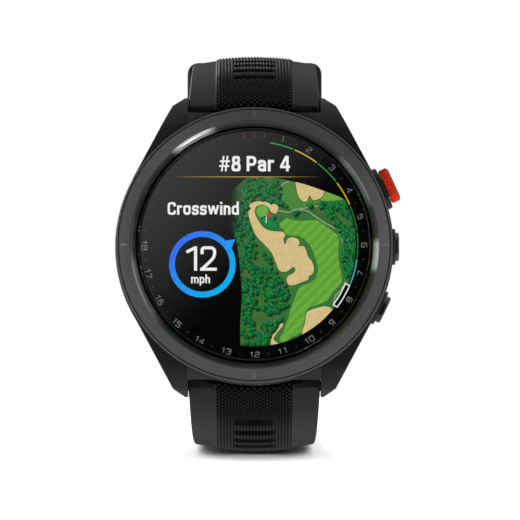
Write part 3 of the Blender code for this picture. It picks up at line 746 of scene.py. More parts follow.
def cover_cutters():
    """Cutters for the rear cover's recess and its four screws."""
    cutters = cover_shape(GAP, -2, CASE_BACK_H + 0.04)
    for x, z in screw_places():
        cutters.append(disc_mesh(0.9, 0, 5.9, on_dial(x, z), 24))
    return cutters


def button_cutters():
    """Cutters for the buttons' pockets and stem bores."""
    cutters = []
    for b in BUTTONS:
        shape = pill(b.guard_length + 2 * GAP, b.guard_width + 2 * GAP, 16)
        cutters.append(prism(shape, b.guard_low - GAP, 28.0, b.frame))
        cutters.append(disc_mesh(0.8, 16.6, 22, b.frame, 24))
        cutters.append(disc_mesh(1.6, 19.6, 22, b.frame, 24))
    return cutters


def case_middle():
    """The case ring with its groove, four lugs, button pockets and pin bores."""
    outer = [
        (FLANGE_R, CASE_FRONT_H), (CASE_R - 0.1, CASE_FRONT_H), (CASE_R, 9.5),
        (CASE_R - 0.12, 9.4), (CASE_R - 0.12, 9.2), (CASE_R + 0.05, 9.1),
        (CASE_R + 0.1, 6.5), (CASE_R - 0.2, 3.6), (CASE_R - 1.1, CASE_BACK_H),
        (20.4, CASE_BACK_H), (20.4, 3.7), (19.2, 3.7), (19.2, CASE_BACK_H),
        (CAVITY_R, CASE_BACK_H), (CAVITY_R, 9.8), (FLANGE_R, 9.8),
    ]
    ring = lathed(rounded(outer, 0.3, 2), 240)
    shells = [boolean(ring, cover_cutters() + notches(-2, UNDERCUT_H) + button_cutters())]
    for x, z in ((1, 1), (-1, 1), (-1, -1), (1, -1)):
        place = Matrix.Translation((0, -PIN_H, z * PIN_Z)) @ ACROSS
        bore = disc_mesh(PIN_R + GAP, -PIN_HALF - 0.3, PIN_HALF + 0.3, place, 40)
        shells.append(boolean(lug(x, z), [bore] + cover_cutters() + button_cutters()))
    for side in (1, -1):
        low, high = sorted((side * (LUG_GAP + 0.02), side * (LUG_GAP + 0.9)))
        shape = rounded(ring_outline(0, 0.85, low, high), 0.3, 3)
        shells.append(lathed(shape, 40, Matrix.Translation((0, -5.0, 24.4)) @ ACROSS))
        low, high = sorted((side * 20.0, side * 22.45))
        shells.append(box_mesh((-LUG_GAP - 0.1, -10.6, low), (LUG_GAP + 0.1, -8.15, high)))
    piece("case_body", joined(shells), ["polymer"], "case", ["case_middle"])


CREST_R = 20.8
GROOVE_R, GROOVE_H = 22.72, 12.88
MARKS = 12


def bezel():
    """The bezel: polished inner bevel, satin slope, fine outer groove and inlaid marks."""
    face, polish, engraved, inlay = range(4)
    inner = LENS_R + GAP
    slope_top = (CREST_R + 0.12, BEZEL_CREST_H - 0.05)
    groove = [(GROOVE_R + out, GROOVE_H - down) for out, down in (
        (0, 0), (0.06, 0.16), (0.2, 0.22), (0.24, 0.16), (0.36, 0.26), (0.48, 0.48))]
    profile = [
        (inner, BEZEL_BACK_H), (inner, 13.25), (inner + 0.06, 13.33),
        (CREST_R - 0.1, BEZEL_CREST_H - 0.04), (CREST_R, BEZEL_CREST_H), slope_top,
        *groove, (BEZEL_R, BEZEL_BACK_H),
    ]
    edge_looks = [polish] * 5 + [face] + [engraved] * 2 + [face] * 4 + [engraved]
    bm = bmesh.new()
    turned(bm, profile, 256, looks=edge_looks)
    slope = math.atan2(slope_top[1] - GROOVE_H, GROOVE_R - slope_top[0])
    for i in range(MARKS):
        turn = Matrix.Rotation(-TURN * i / MARKS, 4, "Z")
        quarter = i % 3 == 0
        reach = 21.9 if quarter else 22.1
        height = GROOVE_H + (GROOVE_R - reach) * math.tan(slope)
        lean = Matrix.Rotation(-slope, 4, "X")
        place = DIAL @ turn @ Matrix.Translation((0, reach, height)) @ lean
        width, length = (0.3, 1.36) if quarter else (0.62, 0.14)
        mark = block_outline(width, length, 0.08, 2)
        raised(bm, mark, -0.2, 0.02, place, look=inlay, edge=0)
    piece("bezel_ring", bm, ["face", "polish", "engraved", "inlay"], "case", ["bezel"], 25)


def lens():
    """The cover glass with a softly rounded rim."""
    rim = [(LENS_R - 0.65, LENS_FRONT_H), (LENS_R - 0.55, LENS_FRONT_H),
           (LENS_R - 0.2, LENS_FRONT_H - 0.08),
           (LENS_R - 0.04, LENS_FRONT_H - 0.28), (LENS_R, LENS_FRONT_H - 0.5)]
    profile = [(0, LENS_FRONT_H)] + rim + [(LENS_R, LENS_BACK_H), (0, LENS_BACK_H)]
    piece("cover_lens", lathed(profile, 256), ["glass"], "case", ["lens"], 40)


# ---------------------------------------------------------------- printed ring


# Strokes of each digit as "x y, x y, ...", split by semicolons, in a box of height 1.
DIGITS = {
    "0": "0 0.1, 0.1 0, 0.7 0, 0.8 0.1, 0.8 0.9, 0.7 1, 0.1 1, 0 0.9, 0 0.1",
    "1": "0.2 0.78, 0.5 1, 0.5 0",
    "2": "0 0.86, 0.14 1, 0.68 1, 0.8 0.88, 0.8 0.62, 0.68 0.5, 0.12 0.5, 0 0.38, 0 0, 0.82 0",
    "3": "0 0.86, 0.12 1, 0.68 1, 0.8 0.88, 0.8 0.62, 0.68 0.5, 0.25 0.5; 0.68 0.5, 0.8 0.38, "
         "0.8 0.12, 0.68 0, 0.12 0, 0 0.14",
    "4": "0.6 0, 0.6 1, 0 0.3, 0.85 0.3",
    "5": "0.8 1, 0 1, 0 0.55, 0.68 0.55, 0.8 0.43, 0.8 0.12, 0.68 0, 0 0",
    "6": "0.78 1, 0.12 1, 0 0.88, 0 0.12, 0.12 0, 0.68 0, 0.8 0.12, 0.8 0.43, 0.68 0.55, 0 0.55",
    "7": "0 1, 0.8 1, 0.3 0",
    "8": "0.12 0.52, 0 0.64, 0 0.88, 0.12 1, 0.68 1, 0.8 0.88, 0.8 0.64, 0.68 0.52, 0.12 0.52, "
         "0 0.4, 0 0.12, 0.12 0, 0.68 0, 0.8 0.12, 0.8 0.4, 0.68 0.52",
    "9": "0.02 0, 0.68 0, 0.8 0.12, 0.8 0.88, 0.68 1, 0.12 1, 0 0.88, 0 0.57, 0.12 0.45, "
         "0.8 0.45",
}
NUMBER_R = 18.45
NUMBER_H = 0.86
STROKE = 0.13


def ribbon(bm, points, width, place, look=0):
    """A flat stripe of even width along an open path, in a plane."""
    points = [Vector(p) for p in points]
    left, right = [], []
    for i, here in enumerate(points):
        before = (here - points[i - 1]).normalized() if i else None
        after = (points[i + 1] - here).normalized() if i + 1 < len(points) else None
        along = ((before or after) + (after or before)).normalized()
        side = Vector((-along.y, along.x))
        reach = width / 2 / max(side.dot(Vector((-(after or before).y, (after or before).x))), 0.5)
        left.append(bm.verts.new(place @ (here + side * reach).to_3d()))
        right.append(bm.verts.new(place @ (here - side * reach).to_3d()))
    faces = []
    for i in range(len(points) - 1):
        faces.append(bm.faces.new((left[i], right[i], right[i + 1], left[i + 1])))
        faces[-1].material_index = look
    return faces


def dial_place(clock, reach, height, inward=False):
    """A frame on the dial at a clockwise angle, its y axis outward or inward."""
    spin = math.pi if inward else 0
    return (DIAL @ Matrix.Rotation(-clock, 4, "Z") @ Matrix.Translation((0, reach, height))
            @ Matrix.Rotation(spin, 4, "Z"))


def number_ring():
    """The black printed border under the glass, with hole numbers and ticks."""
    face_h = LENS_BACK_H + 0.03
    bm = bmesh.new()
    border = ring_outline(SCREEN_R - 0.1, LENS_R - 0.03, LENS_BACK_H - 0.05, face_h)
    turned(bm, border, 192)
    step = TURN / 24
    for number in range(1, 19):
        text = str(number)
        wide = 0.72 * len(text) + 0.2 * (len(text) - 1)
        place = dial_place(step * number, NUMBER_R, face_h + 0.02, inward=number > 6)
        start = -wide / 2
        for sign in text:
            for stroke in DIGITS[sign].split(";"):
                points = [(start + x * 0.9, (y - 0.5) * NUMBER_H) for x, y in outline_of(stroke)]
                ribbon(bm, points, STROKE, place, look=1)
            start += 0.92
    ticks = [k + 0.5 for k in range(1, 18)] + [k / 2 for k in range(37, 46)]
    for spot in ticks:
        place = dial_place(step * spot, NUMBER_R, face_h + 0.02)
        ribbon(bm, [(0, -0.22), (0, 0.22)], 0.1, place, look=3)
    for spot in (-0.35, 0.0, 0.35):
        place = dial_place(step * spot, NUMBER_R, face_h + 0.02)
        ribbon(bm, [(0, -0.36), (0, 0.36)], 0.2, place, look=2)
    piece("number_ring", bm, ["mask", "print", "red_print", "faint_print"], "case")


# ---------------------------------------------------------------- screen picture


WHITE = srgb("f4f4f4")
SAND = srgb("e2cd92")


# Each sign: its width, its share of the line weight, and its strokes as in DIGITS.
LETTERS = {
    "#": (0.73, 0.62, "0.17 0, 0.3 1; 0.43 0, 0.56 1; 0.05 0.66, 0.73 0.66; 0 0.34, 0.68 0.34"),
    "8": (0.62, 1, "0.31 0.91, 0.48 0.91, 0.48 0.53, 0.14 0.53, 0.14 0.91, 0.31 0.91; 0.31 0.09, "
                   "0.52 0.09, 0.52 0.51, 0.1 0.51, 0.1 0.09, 0.31 0.09"),
    "P": (0.66, 1, "0.1 0, 0.1 1; 0.1 0.91, 0.56 0.91, 0.56 0.44, 0.1 0.44"),
    "a": (0.58, 1, "0.1 0.5, 0.1 0.66, 0.47 0.66, 0.47 0; 0.47 0.4, 0.1 0.4, 0.1 0.08, "
                   "0.47 0.08, 0.47 0.24"),
    "r": (0.42, 1, "0.1 0, 0.1 0.75; 0.1 0.4, 0.1 0.65, 0.42 0.65"),
    "4": (0.68, 0.95, "0.5 0, 0.5 1; 0.46 1, 0.08 0.3; 0.02 0.29, 0.68 0.29"),
    "C": (0.68, 1, "0.58 0.66, 0.58 0.91, 0.1 0.91, 0.1 0.09, 0.58 0.09, 0.58 0.34"),
    "o": (0.62, 1, "0.31 0.66, 0.52 0.66, 0.52 0.09, 0.1 0.09, 0.1 0.66, 0.31 0.66"),
    "s": (0.56, 0.95, "0.47 0.5, 0.47 0.67, 0.1 0.67, 0.1 0.38, 0.47 0.38, 0.47 0.08, 0.09 0.08, "
                      "0.09 0.24"),
    "w": (0.9, 0.9, "0.07 0.75, 0.25 0.05; 0.25 0.05, 0.45 0.72; 0.45 0.72, 0.65 0.05; "
                    "0.65 0.05, 0.83 0.75"),
    "i": (0.2, 1, "0.1 0, 0.1 0.75; 0.1 0.85, 0.1 1.02"),
    "n": (0.57, 1, "0.1 0, 0.1 0.75; 0.1 0.3, 0.1 0.65, 0.47 0.65, 0.47 0"),
    "d": (0.6, 1, "0.5 0, 0.5 1.04; 0.5 0.65, 0.1 0.65, 0.1 0.09, 0.5 0.09"),
    "p": (0.6, 1, "0.1 -0.27, 0.1 0.75; 0.1 0.65, 0.5 0.65, 0.5 0.09, 0.1 0.09"),
    "h": (0.57, 1, "0.1 0, 0.1 1.04; 0.1 0.3, 0.1 0.65, 0.47 0.65, 0.47 0"),
    "m": (0.92, 1, "0.1 0, 0.1 0.75; 0.1 0.3, 0.1 0.65, 0.46 0.65, 0.46 0; 0.46 0.3, 0.46 0.65, "
                   "0.82 0.65, 0.82 0"),
    "1": (0.42, 1, "0 0.76, 0.32 0.94; 0.34 0, 0.34 1"),
    "2": (0.62, 1, "0.07 0.68, 0.07 0.94, 0.54 0.94, 0.54 0.56, 0.06 0.05; 0 0.06, 0.62 0.06"),
}
LETTER_GAP = 0.09
WORD_GAP = 0.3


class Picture:
    """Flat coloured shapes laid over one another on the screen."""

    def __init__(self):
        self.bm = bmesh.new()
        self.paint = self.bm.loops.layers.float_color.new("paint")
        self.height = SCREEN_H + 0.01

    def colour(self, faces, colour):
        """Paint faces; colour is a triple or a function of (x, up)."""
        for face in faces:
            for loop in face.loops:
                x, _, z = loop.vert.co
                tone = colour(x, z) if callable(colour) else colour
                loop[self.paint] = (*tone, 1.0)

    def layer(self, rise=0.004):
        """Start the next layer, a hair nearer the glass."""
        self.height += rise

    def at(self, x, z):
        """A world point on the current layer."""
        return Vector((x, -self.height, z))

    def fill(self, outline, colour):
        """Lay down one filled outline."""
        face = self.bm.faces.new([self.bm.verts.new(self.at(*p)) for p in outline])
        self.colour([face], colour)
        return face

    def line(self, points, width, colour):
        """Lay down a stripe."""
        place = DIAL @ Matrix.Translation((0, 0, self.height))
        self.colour(ribbon(self.bm, points, width, place), colour)

    def write(self, text, x, z, width, height, weight):
        """Lay down white lettering, centred and fitted to a width and a capital height."""
        total = sum(LETTERS[c][0] + LETTER_GAP if c != " " else WORD_GAP for c in text)
        stretch = width / (total - LETTER_GAP)
        start = x - width / 2
        for sign in text:
            if sign == " ":
                start += WORD_GAP * stretch
                continue
            wide, share, strokes = LETTERS[sign]
            for stroke in strokes.split(";"):
                points = [(start + px * stretch, z + (py - 0.5) * height)
                          for px, py in outline_of(stroke)]
                points = rounded(points, 0.2 * height, 5, closed=False)
                self.line(points, weight * share * height, WHITE)
            start += (wide + LETTER_GAP) * stretch


def inside(point, outline):
    """True if a point lies in an outline."""
    x, z = point
    hit = False
    for i, (x2, z2) in enumerate(outline):
        x1, z1 = outline[i - 1]
        if (z1 > z) != (z2 > z) and x < (x2 - x1) * (z - z1) / (z2 - z1) + x1:
            hit = not hit
    return hit


def fade(x, z):
    """How bright the map is: it dies away at its upper left."""
    edge = -3.9 if z > 2 else -5.0
    return min(max((x - edge) / 2.2, 0.0), 1.0)


def blend_colours(one, two, t):
    """A colour between two."""
    return tuple(a + (b - a) * t for a, b in zip(one, two))


def map_ground(x, z):
    """Rough grass with grey-brown patches."""
    patch = noise.noise(Vector((x * 0.9, z * 0.9, 0.3))) * 0.5 + 0.5
    fine = noise.noise(Vector((x * 3.1, z * 3.1, 4.1))) * 0.5 + 0.5
    tone = blend_colours(srgb("3c7434"), srgb("67794c"), max(patch * 1.5 - 0.45, 0.0))
    tone = blend_colours(tone, srgb("2b5a2c"), fine * 0.6)
    return shade(tone, fade(x, z))


# Outlines of the golf hole, in mm on the screen.
MAP_EDGE = 17.05
TREES_LEFT = outline_of(
    "-2.6 10.3, -1.3 11.3, 0.5 11.5, 3.5 11.3, 4.3 10.1, 4.1 8.2, 4.3 7, 1.5 7.8, -0.9 7.4, "
    "-1.5 5, -0.8 2.6, 0.4 0.6, 2.2 -1.5, 3.4 -4.3, 4.7 -5.2, 5.4 -7, 5.7 -8.6, 5.2 -11.4, "
    "4.3 -12.8, 2.5 -15.5, 2.4 -17.1, -2.4 -17.1, -2.1 -8.8, -2.3 -4.9, -2.9 0.1, -3.4 1.8, "
    "-4.6 5"
)
TREES_RIGHT = outline_of(
    "10.6 6.9, 14.9 7.8, 16.1 6.4, 17 3.4, 17.3 0.6, 17.2 -2.3, 16.3 -6.1, 15.4 -5.9, 14.7 -3.3, "
    "14.7 -0.1, 15.3 0.5, 13.9 2.8, 12.9 4.4, 12 5.8"
)
BIG_BUNKER = outline_of(
    "-1 6, -0.7 6.9, 0.2 7.3, 1.4 7.35, 2.6 7.1, 3.9 6.7, 4 6.1, 3.6 5.3, 2.8 5.6, 2.4 6.3, "
    "1.5 6.8, 0.5 6.6, 0.1 6, 0.2 5, 0.8 3.9, 1.5 3, 2.4 2.5, 3.6 2.3, 4.8 2.2, 5.2 1.7, "
    "4.9 1.1, 5 0.4, 5.3 0.2, 5.5 0.9, 6.3 1.3, 7.3 1, 7.6 0.3, 7.4 -0.2, 8.3 -0.2, 8.7 -0.9, "
    "9 -1.9, 9.7 -2.8, 10 -3.9, 9.8 -4.8, 9.2 -5.2, 9 -5.8, 8.1 -6.2, 6.3 -6.8, 5.5 -6.3, "
    "5.6 -5.3, 6.6 -4.7, 6.9 -4.1, 6.5 -3.7, 5.5 -4.4, 4.7 -4.5, 4.1 -4.1, 3.6 -2.9, 2.9 -1.3, "
    "1.7 0.1, 0.3 1.6, -0.4 3.2, -0.9 4.8"
)
FAIRWAY = outline_of(
    "4.2 3.4, 4.8 4.1, 5.5 4.5, 6.6 4.2, 8.4 4.1, 10.2 4.2, 11.4 3.6, 12.7 2.7, 13.8 1.8, "
    "14.2 0.8, 14.1 -1.3, 14.3 -3.3, 14.7 -5.7, 14.3 -6.7, 13.1 -8, 12.3 -9.3, 11 -9.9, "
    "9.3 -10.5, 8.7 -11.4, 8.5 -12.7, 8.2 -14.1, 7.4 -14.9, 6.2 -15.5, 5.2 -16.4, 4.5 -16.2, "
    "4.3 -15.5, 5 -14.3, 5.6 -12.6, 6.2 -10.6, 7 -8.4, 7.7 -7.1, 9.2 -6.4, 10.3 -5.5, 10.7 -4.2, "
    "10.4 -2.7, 9.8 -0.9, 8.8 0.6, 7.6 1.5, 6.4 1.6, 5.4 1.8, 5 2.4"
)
ROUGH = outline_of(
    "3 2.4, 4.2 4.8, 5.8 5.3, 10.2 4.9, 12.9 3.3, 14.8 1.5, 14.8 -1.3, 15 -3.5, 15.7 -5.9, "
    "14.6 -8.3, 13.3 -10.6, 11 -13.3, 8.2 -15.3, 5 -16.9, 3.4 -16.5, 4.2 -14.7, 5 -12, 5.6 -9.2, "
    "5.8 -7.2, 4.6 -5, 3.2 -3.6, 1.2 0, -0.7 2.4, -1.4 5, -1.3 6.6, -0.2 7.7, 2 7.8, 4.2 7.1, "
    "4.4 5.6"
)
UPPER_ROUGH = outline_of(
    "4.6 9.9, 5.8 10.9, 7.1 10.9, 9.4 8.2, 11.4 8, 10.8 7, 9.2 7, 7.4 6, 5.8 6.2, 4.6 7.7, 4.3 9.1"
)
UPPER_BUNKER = outline_of(
    "7 11.4, 9 11, 11.7 9.6, 11.5 8.3, 10.7 7.7, 9.8 7.6, 9.4 8.3, 9.1 8.1, 8.9 7.5, 8.3 7.3, "
    "7.6 7.9, 7.2 8.9"
)
WEDGE = outline_of(
    "11.7 8.5, 12.1 9.2, 14.6 8.2, 14.5 7.6, 11.4 7.5"
)
LOWER_BUNKER = outline_of(
    "8.7 -11.7, 9.1 -11.1, 10.4 -10.6, 12.1 -10.3, 13.2 -10.9, 14 -12, 11.6 -13.8, 9.4 -15.4, "
    "8.1 -15.6, 8.1 -14.3, 8.5 -13.2"
)
SMALL_BUNKER = outline_of(
    "4.6 -12.8, 4.8 -13.5, 4.1 -14.4, 3.4 -15.3, 3.3 -16, 4.6 -17, 3 -17.2, 2.8 -16.3, 3 -15.3, "
    "3.7 -14.5, 4.2 -13.7"
)
PUTTING_FRINGE = outline_of(
    "0.1 6, 0.2 5.1, 1 3.6, 2.1 2.6, 3.3 2.5, 4.2 3.1, 4 3.9, 3.1 4.6, 2.7 5.6, 2.1 6.5, 1.3 6.8, "
    "0.5 6.6"
)
TEE_GREEN = outline_of(
    "1.2 4.4, 1.7 4.8, 2.7 4.5, 3.7 3.8, 4.1 3.1, 3.6 2.7, 2.5 2.8, 1.5 3.4"
)
BUNKERS = (BIG_BUNKER, UPPER_BUNKER, LOWER_BUNKER, SMALL_BUNKER)
CART_PATHS = [
    outline_of("4.1 5.8, 5.8 5.5, 6.6 5.9, 7.4 6, 9 5.7, 10 5, 11.4 4, 12.9 3.2, 13.6 2.8"),
    outline_of("4.4 7.9, 4.4 9.5, 4.8 10.3, 5.9 10.8"),
    outline_of("7.4 5.9, 8.2 6.2, 10.2 6.5, 12.1 6.8, 14.1 7.2"),
    outline_of("14.3 1.8, 14.7 1, 14.9 0.4"),
    outline_of("15.4 -6.1, 14.5 -7.6, 13.6 -8.6, 13.3 -10.3"),
]
LONE_TREES = ((3.3, 4.75), (4.6, 7.0), (5.3, 6.6), (6.8, 5.2), (7.1, 5.6), (9.4, 6.6))
MAP_TOP = outline_of(
    "-1.3 11.2, 0.5 11.4, 3.5 11.3, 5.8 10.8, 8.2 10.3, 11.7 9.1, 14.9 7.8, 16.4 6.4"
)
MAP_LEFT = outline_of(
    "-1.3 11.2, -2.6 10.2, -3.9 8.6, -4.6 5, -3.5 1.8, -2.9 0.1, -2.3 -4.9, -2.1 -8.8, "
    "-2.35 -12.8, -2.3 -17.4"
)


def sand(x, z):
    """Sand with a soft grain."""
    grain = noise.noise(Vector((x * 2.3, z * 2.3, 7.7))) * 0.5 + 0.5
    return blend_colours(SAND, srgb("cdb276"), grain * 0.8)


def sliced(picture, region, normal, offsets):
    """Cut faces of the map along a row of parallel planes; returns their parts."""
    for offset in offsets:
        edges = list({e for f in region for e in f.edges})
        verts = list({v for f in region for v in f.verts})
        cut = bmesh.ops.bisect_plane(picture.bm, geom=region + edges + verts,
                                     plane_co=normal * offset, plane_no=normal)
        region = [g for g in cut["geom"] if isinstance(g, bmesh.types.BMFace)]
    return region


def patch(picture, outline, colour):
    """A map shape cut into small cells, so that its colour can vary inside."""
    region = [picture.fill(smooth_curve(outline, 4), (0, 0, 0))]
    for axis in (Vector((1, 0, 0)), Vector((0, 0, 1))):
        region = sliced(picture, region, axis, [k * 0.5 + 0.11 for k in range(-34, 35)])
    picture.colour(region, colour)


def striped_fairway(picture):
    """The mown fairway in two greens, in slanting stripes."""
    pitch = 0.62
    across = Vector((1, 0, -1)).normalized()
    region = [picture.fill(smooth_curve(FAIRWAY, 4), (0, 0, 0))]
    for face in sliced(picture, region, across, [k * pitch for k in range(-4, 40)]):
        band = math.floor(face.calc_center_median().dot(across) / pitch)
        picture.colour([face], srgb("6fb13f") if band % 2 else srgb("63a43a"))


def blob(x, z, size):
    """A rough little disc."""
    return [
        (x + size * random.uniform(0.75, 1.15) * math.cos(TURN * i / 8),
         z + size * random.uniform(0.75, 1.15) * math.sin(TURN * i / 8))
        for i in range(8)
    ]


def tree(picture, x, z):
    """One tree from above: shadow, crown and sunlit top."""
    size = random.uniform(0.3, 0.48)
    dim = fade(x, z)
    crown = random.choice([srgb("0f5f2e"), srgb("145a28"), srgb("0c6f2c"), srgb("16603f")])
    picture.layer(0.00012)
    picture.fill(blob(x + 0.2, z - 0.24, size * 1.1), shade(srgb("12371f"), dim))
    picture.layer(0.00012)
    picture.fill(blob(x, z, size), shade(crown, dim))
    picture.layer(0.00012)
    top = random.choice([srgb("1f8f3c"), srgb("1f9a34"), srgb("2f8a58"), srgb("177a34")])
    picture.fill(blob(x - 0.08, z + 0.1, size * 0.5), shade(top, dim))


def woods(picture, outline, count):
    """Scatter trees inside an outline, far ones first."""
    spots = []
    xs, zs = [p[0] for p in outline], [p[1] for p in outline]
    while len(spots) < count:
        spot = (random.uniform(min(xs), max(xs)), random.uniform(min(zs), max(zs)))
        if not inside(spot, outline):
            continue
        clearing = noise.noise(Vector((spot[0] * 0.55, spot[1] * 0.55, 9.0)))
        if clearing < -0.2:
            continue
        if min((math.dist(spot, other) for other in spots), default=9) > 0.34:
            spots.append(spot)
    for spot in sorted(spots, key=lambda p: -p[1]):
        tree(picture, *spot)


def hole_map(picture):
    """The map of one golf hole."""
    cell = 0.42
    for i in range(-12, 42):
        for j in range(-42, 28):
            x, z = i * cell, j * cell
            if math.hypot(x, z) < MAP_EDGE + 0.3:
                corner = [(x, z), (x + cell, z), (x + cell, z + cell), (x, z + cell)]
                picture.fill(corner, map_ground)
    picture.layer()
    patch(picture, ROUGH, lambda x, z: blend_colours(
        srgb("3f7f38"), srgb("35703a"), noise.noise(Vector((x, z, 2.0))) * 0.5 + 0.5))
    patch(picture, UPPER_ROUGH, srgb("4a8a3b"))
    picture.layer()
    striped_fairway(picture)
    picture.fill(smooth_curve(WEDGE), srgb("6fae40"))
    picture.layer()
    for outline in BUNKERS:
        shape = smooth_curve(outline, 4)
        picture.line(shape + shape[:1], 0.3, srgb("3c6b2c"))
    picture.layer()
    for outline in BUNKERS:
        patch(picture, outline, sand)
    picture.layer()
    picture.fill(smooth_curve(PUTTING_FRINGE), srgb("3a7d35"))
    picture.layer()
    picture.fill(arc((1.35, 5.65), 1.0, 0, TURN, 24)[:-1], srgb("6cb04a"))
    shape = smooth_curve(TEE_GREEN)
    picture.fill(shape, srgb("1c8045"))
    picture.layer()
    picture.line(shape + shape[:1], 0.16, srgb("0f5c30"))
    for path in CART_PATHS:
        picture.line(smooth_curve(path, 4, closed=False), 0.16, srgb("a3ad93"))
    picture.layer()
    woods(picture, TREES_LEFT, 330)
    woods(picture, TREES_RIGHT, 110)
    for spot in LONE_TREES:
        tree(picture, *spot)
    picture.layer()
    picture.line([(1.95, 3.7), (2.05, 5.0)], 0.12, WHITE)
    picture.fill([(2.0, 4.65), (2.8, 4.65), (2.8, 5.3), (2.0, 5.3)], srgb("d42a22"))


def map_masks(picture):
    """Black borders that give the map its outline."""
    picture.layer()
    rim = arc((0, 0), MAP_EDGE, 0, TURN, 160)
    outer = arc((0, 0), SCREEN_R, 0, TURN, 160)
    for i in range(160):
        picture.fill([rim[i], outer[i], outer[i + 1], rim[i + 1]], (0, 0, 0))
    top = smooth_curve(MAP_TOP, 4, closed=False)
    start, end = math.atan2(6.4, 16.4), math.atan2(11.2, -1.3)
    picture.fill(top + arc((0, 0), SCREEN_R - 0.05, start, end, 40), (0, 0, 0))
    left = smooth_curve(MAP_LEFT, 4, closed=False)
    picture.fill(left + arc((0, 0), SCREEN_R - 0.05, math.radians(-98), -math.pi * 1.46, 60),
                 (0, 0, 0))


HOLE_COLOURS = ["2c8f50", "c8b222", "26874a", "d2a61c", "157c38", "137433", "33b3bd"]
WIND_CENTRE = (-8.73, -3.25)
WIND_OUT_R, WIND_IN_R = 5.6, 4.6
HOLE_ARC_HALF = math.radians(7.0)


def wind_blue(x, z):
    """The wind dial's blue, from deep at the upper left to cyan at the lower right."""
    t = 0.5 + ((x - WIND_CENTRE[0]) - (z - WIND_CENTRE[1])) / (2.9 * WIND_OUT_R)
    return blend_colours(srgb("2a63f4"), srgb("00b6f2"), min(max(t, 0.0), 1.0))


def golden(x, _):
    """The title line's gold, fading at both ends."""
    strength = max(1 - abs((x + 1.5) / 13.0) ** 1.6, 0.0)
    return shade(srgb("c39a36"), strength ** 1.3)


def dial_furniture(picture):
    """The coloured hole arcs, title, line, wind dial and speed."""
    picture.layer()
    reach = SCREEN_R - 0.2
    for i, code in enumerate(HOLE_COLOURS):
        middle = math.pi / 2 - TURN / 24 * (i + 1)
        start = middle + (math.radians(6.2) if i == 0 else HOLE_ARC_HALF)
        picture.line(arc((0, 0), reach, start, middle - HOLE_ARC_HALF, 14), 0.24, srgb(code))
    middle, half = math.pi / 2 - TURN / 3, HOLE_ARC_HALF
    outer = arc((0, 0), reach, middle - half, middle + half, 12)
    inner = arc((0, 0), reach - 0.78, middle + half, middle - half, 12)
    picture.fill(outer + inner, srgb("050505"))
    picture.layer()
    shape = outer + inner
    picture.line(shape + shape[:1], 0.2, srgb("ececec"))
    for i in range(52):
        x = -13.2 + i * 0.5
        picture.line([(x, 11.47), (x + 0.5, 11.47)], 0.15, golden)
    picture.write("#8 Par 4", 0.05, 13.7, 11.9, 2.57, 0.18)
    picture.write("Crosswind", -8.58, 6.15, 12.0, 2.14, 0.18)
    picture.write("12", -8.85, -2.27, 5.1, 4.1, 0.125)
    picture.write("mph", -9.03, -5.72, 3.2, 1.45, 0.17)
    rim = arc(WIND_CENTRE, (WIND_OUT_R + WIND_IN_R) / 2, 0, TURN, 96)
    picture.line(rim, WIND_OUT_R - WIND_IN_R, wind_blue)
    picture.layer()
    tip, low, high = math.radians(37.4), math.radians(27), math.radians(48)
    reach = WIND_OUT_R - 0.3
    base_low, base_high = arc(WIND_CENTRE, reach, low, high, 1)
    point = arc(WIND_CENTRE, 6.95, tip, tip, 1)[0]
    bend_low = arc(WIND_CENTRE, 5.9, math.radians(31), tip, 1)[0]
    bend_high = arc(WIND_CENTRE, 5.9, math.radians(43.5), tip, 1)[0]
    picture.fill([base_low, bend_low, point, bend_high, base_high], wind_blue)


def screen():
    """The round panel and the picture it shows."""
    panel = ring_outline(0, SCREEN_R, SCREEN_BACK_H, SCREEN_H)
    piece("screen_panel", lathed(panel, 128), ["mask"], "case", ["display_panel"])
    picture = Picture()
    hole_map(picture)
    map_masks(picture)
    dial_furniture(picture)
    mesh = bpy.data.meshes.new("screen_picture")
    picture.bm.to_mesh(mesh)
    picture.bm.free()
    mesh.transform(Matrix.Scale(MM, 4))
    mesh.materials.append(LOOKS["screen"])
    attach(show("screen_picture", mesh), "case")


# ---------------------------------------------------------------- buttons


KNURL_PITCH = 0.42
KNURL_DEPTH = 0.13
KNURL_CHAMFER = 0.22


def knurled_band(bm, b, low, high, look):
    """A stadium band cut with crossing diamond grooves."""
    outline = pill(b.length, b.width, 40)
    lengths = [0.0]
    for one, two in zip(outline, outline[1:] + outline[:1]):
        lengths.append(lengths[-1] + (two - one).length)
    around = lengths[-1]
    samples = 420
    pitch = around / round(around / KNURL_PITCH)
    rows = 18
    spots, outward = [], []
    index = 0
    for k in range(samples):
        want = around * k / samples
        while lengths[index + 1] < want:
            index += 1
        one, two = outline[index], outline[(index + 1) % len(outline)]
        t = (want - lengths[index]) / (lengths[index + 1] - lengths[index])
        spots.append(one.lerp(two, t))
        along = (two - one).normalized()
        outward.append(Vector((along.y, -along.x)))
    rings = []
    for j in range(rows + 1):
        v = j / rows
        z = low + (high - low) * v
        rim = min(v, 1 - v) * (high - low)
        shrink = KNURL_CHAMFER * max(1 - rim / 0.16, 0) ** 2
        ring = []
        for k in range(samples):
            u = around * k / samples / pitch
            w = (z - low) / pitch
            groove = min(abs((u + w) % 1 - 0.5), abs((u - w) % 1 - 0.5)) * 2
            depth = KNURL_DEPTH * (1 - min(groove * 1.6, 1.0)) * min(rim / 0.14, 1.0)
            spot = spots[k] - outward[k] * (depth + shrink)
            ring.append(b.frame @ Vector((spot.x, spot.y, z)))
        rings.append(ring)
    loft(bm, rings, look)


def stem(bm, b, look):
    """The shaft inside the case with its foot."""
    profile = [(0, 17.0), (1.1, 17.0), (1.1, 17.6), (0.5, 17.6), (0.5, 22.8), (0, 22.8)]
    turned(bm, profile, 32, b.frame, look)


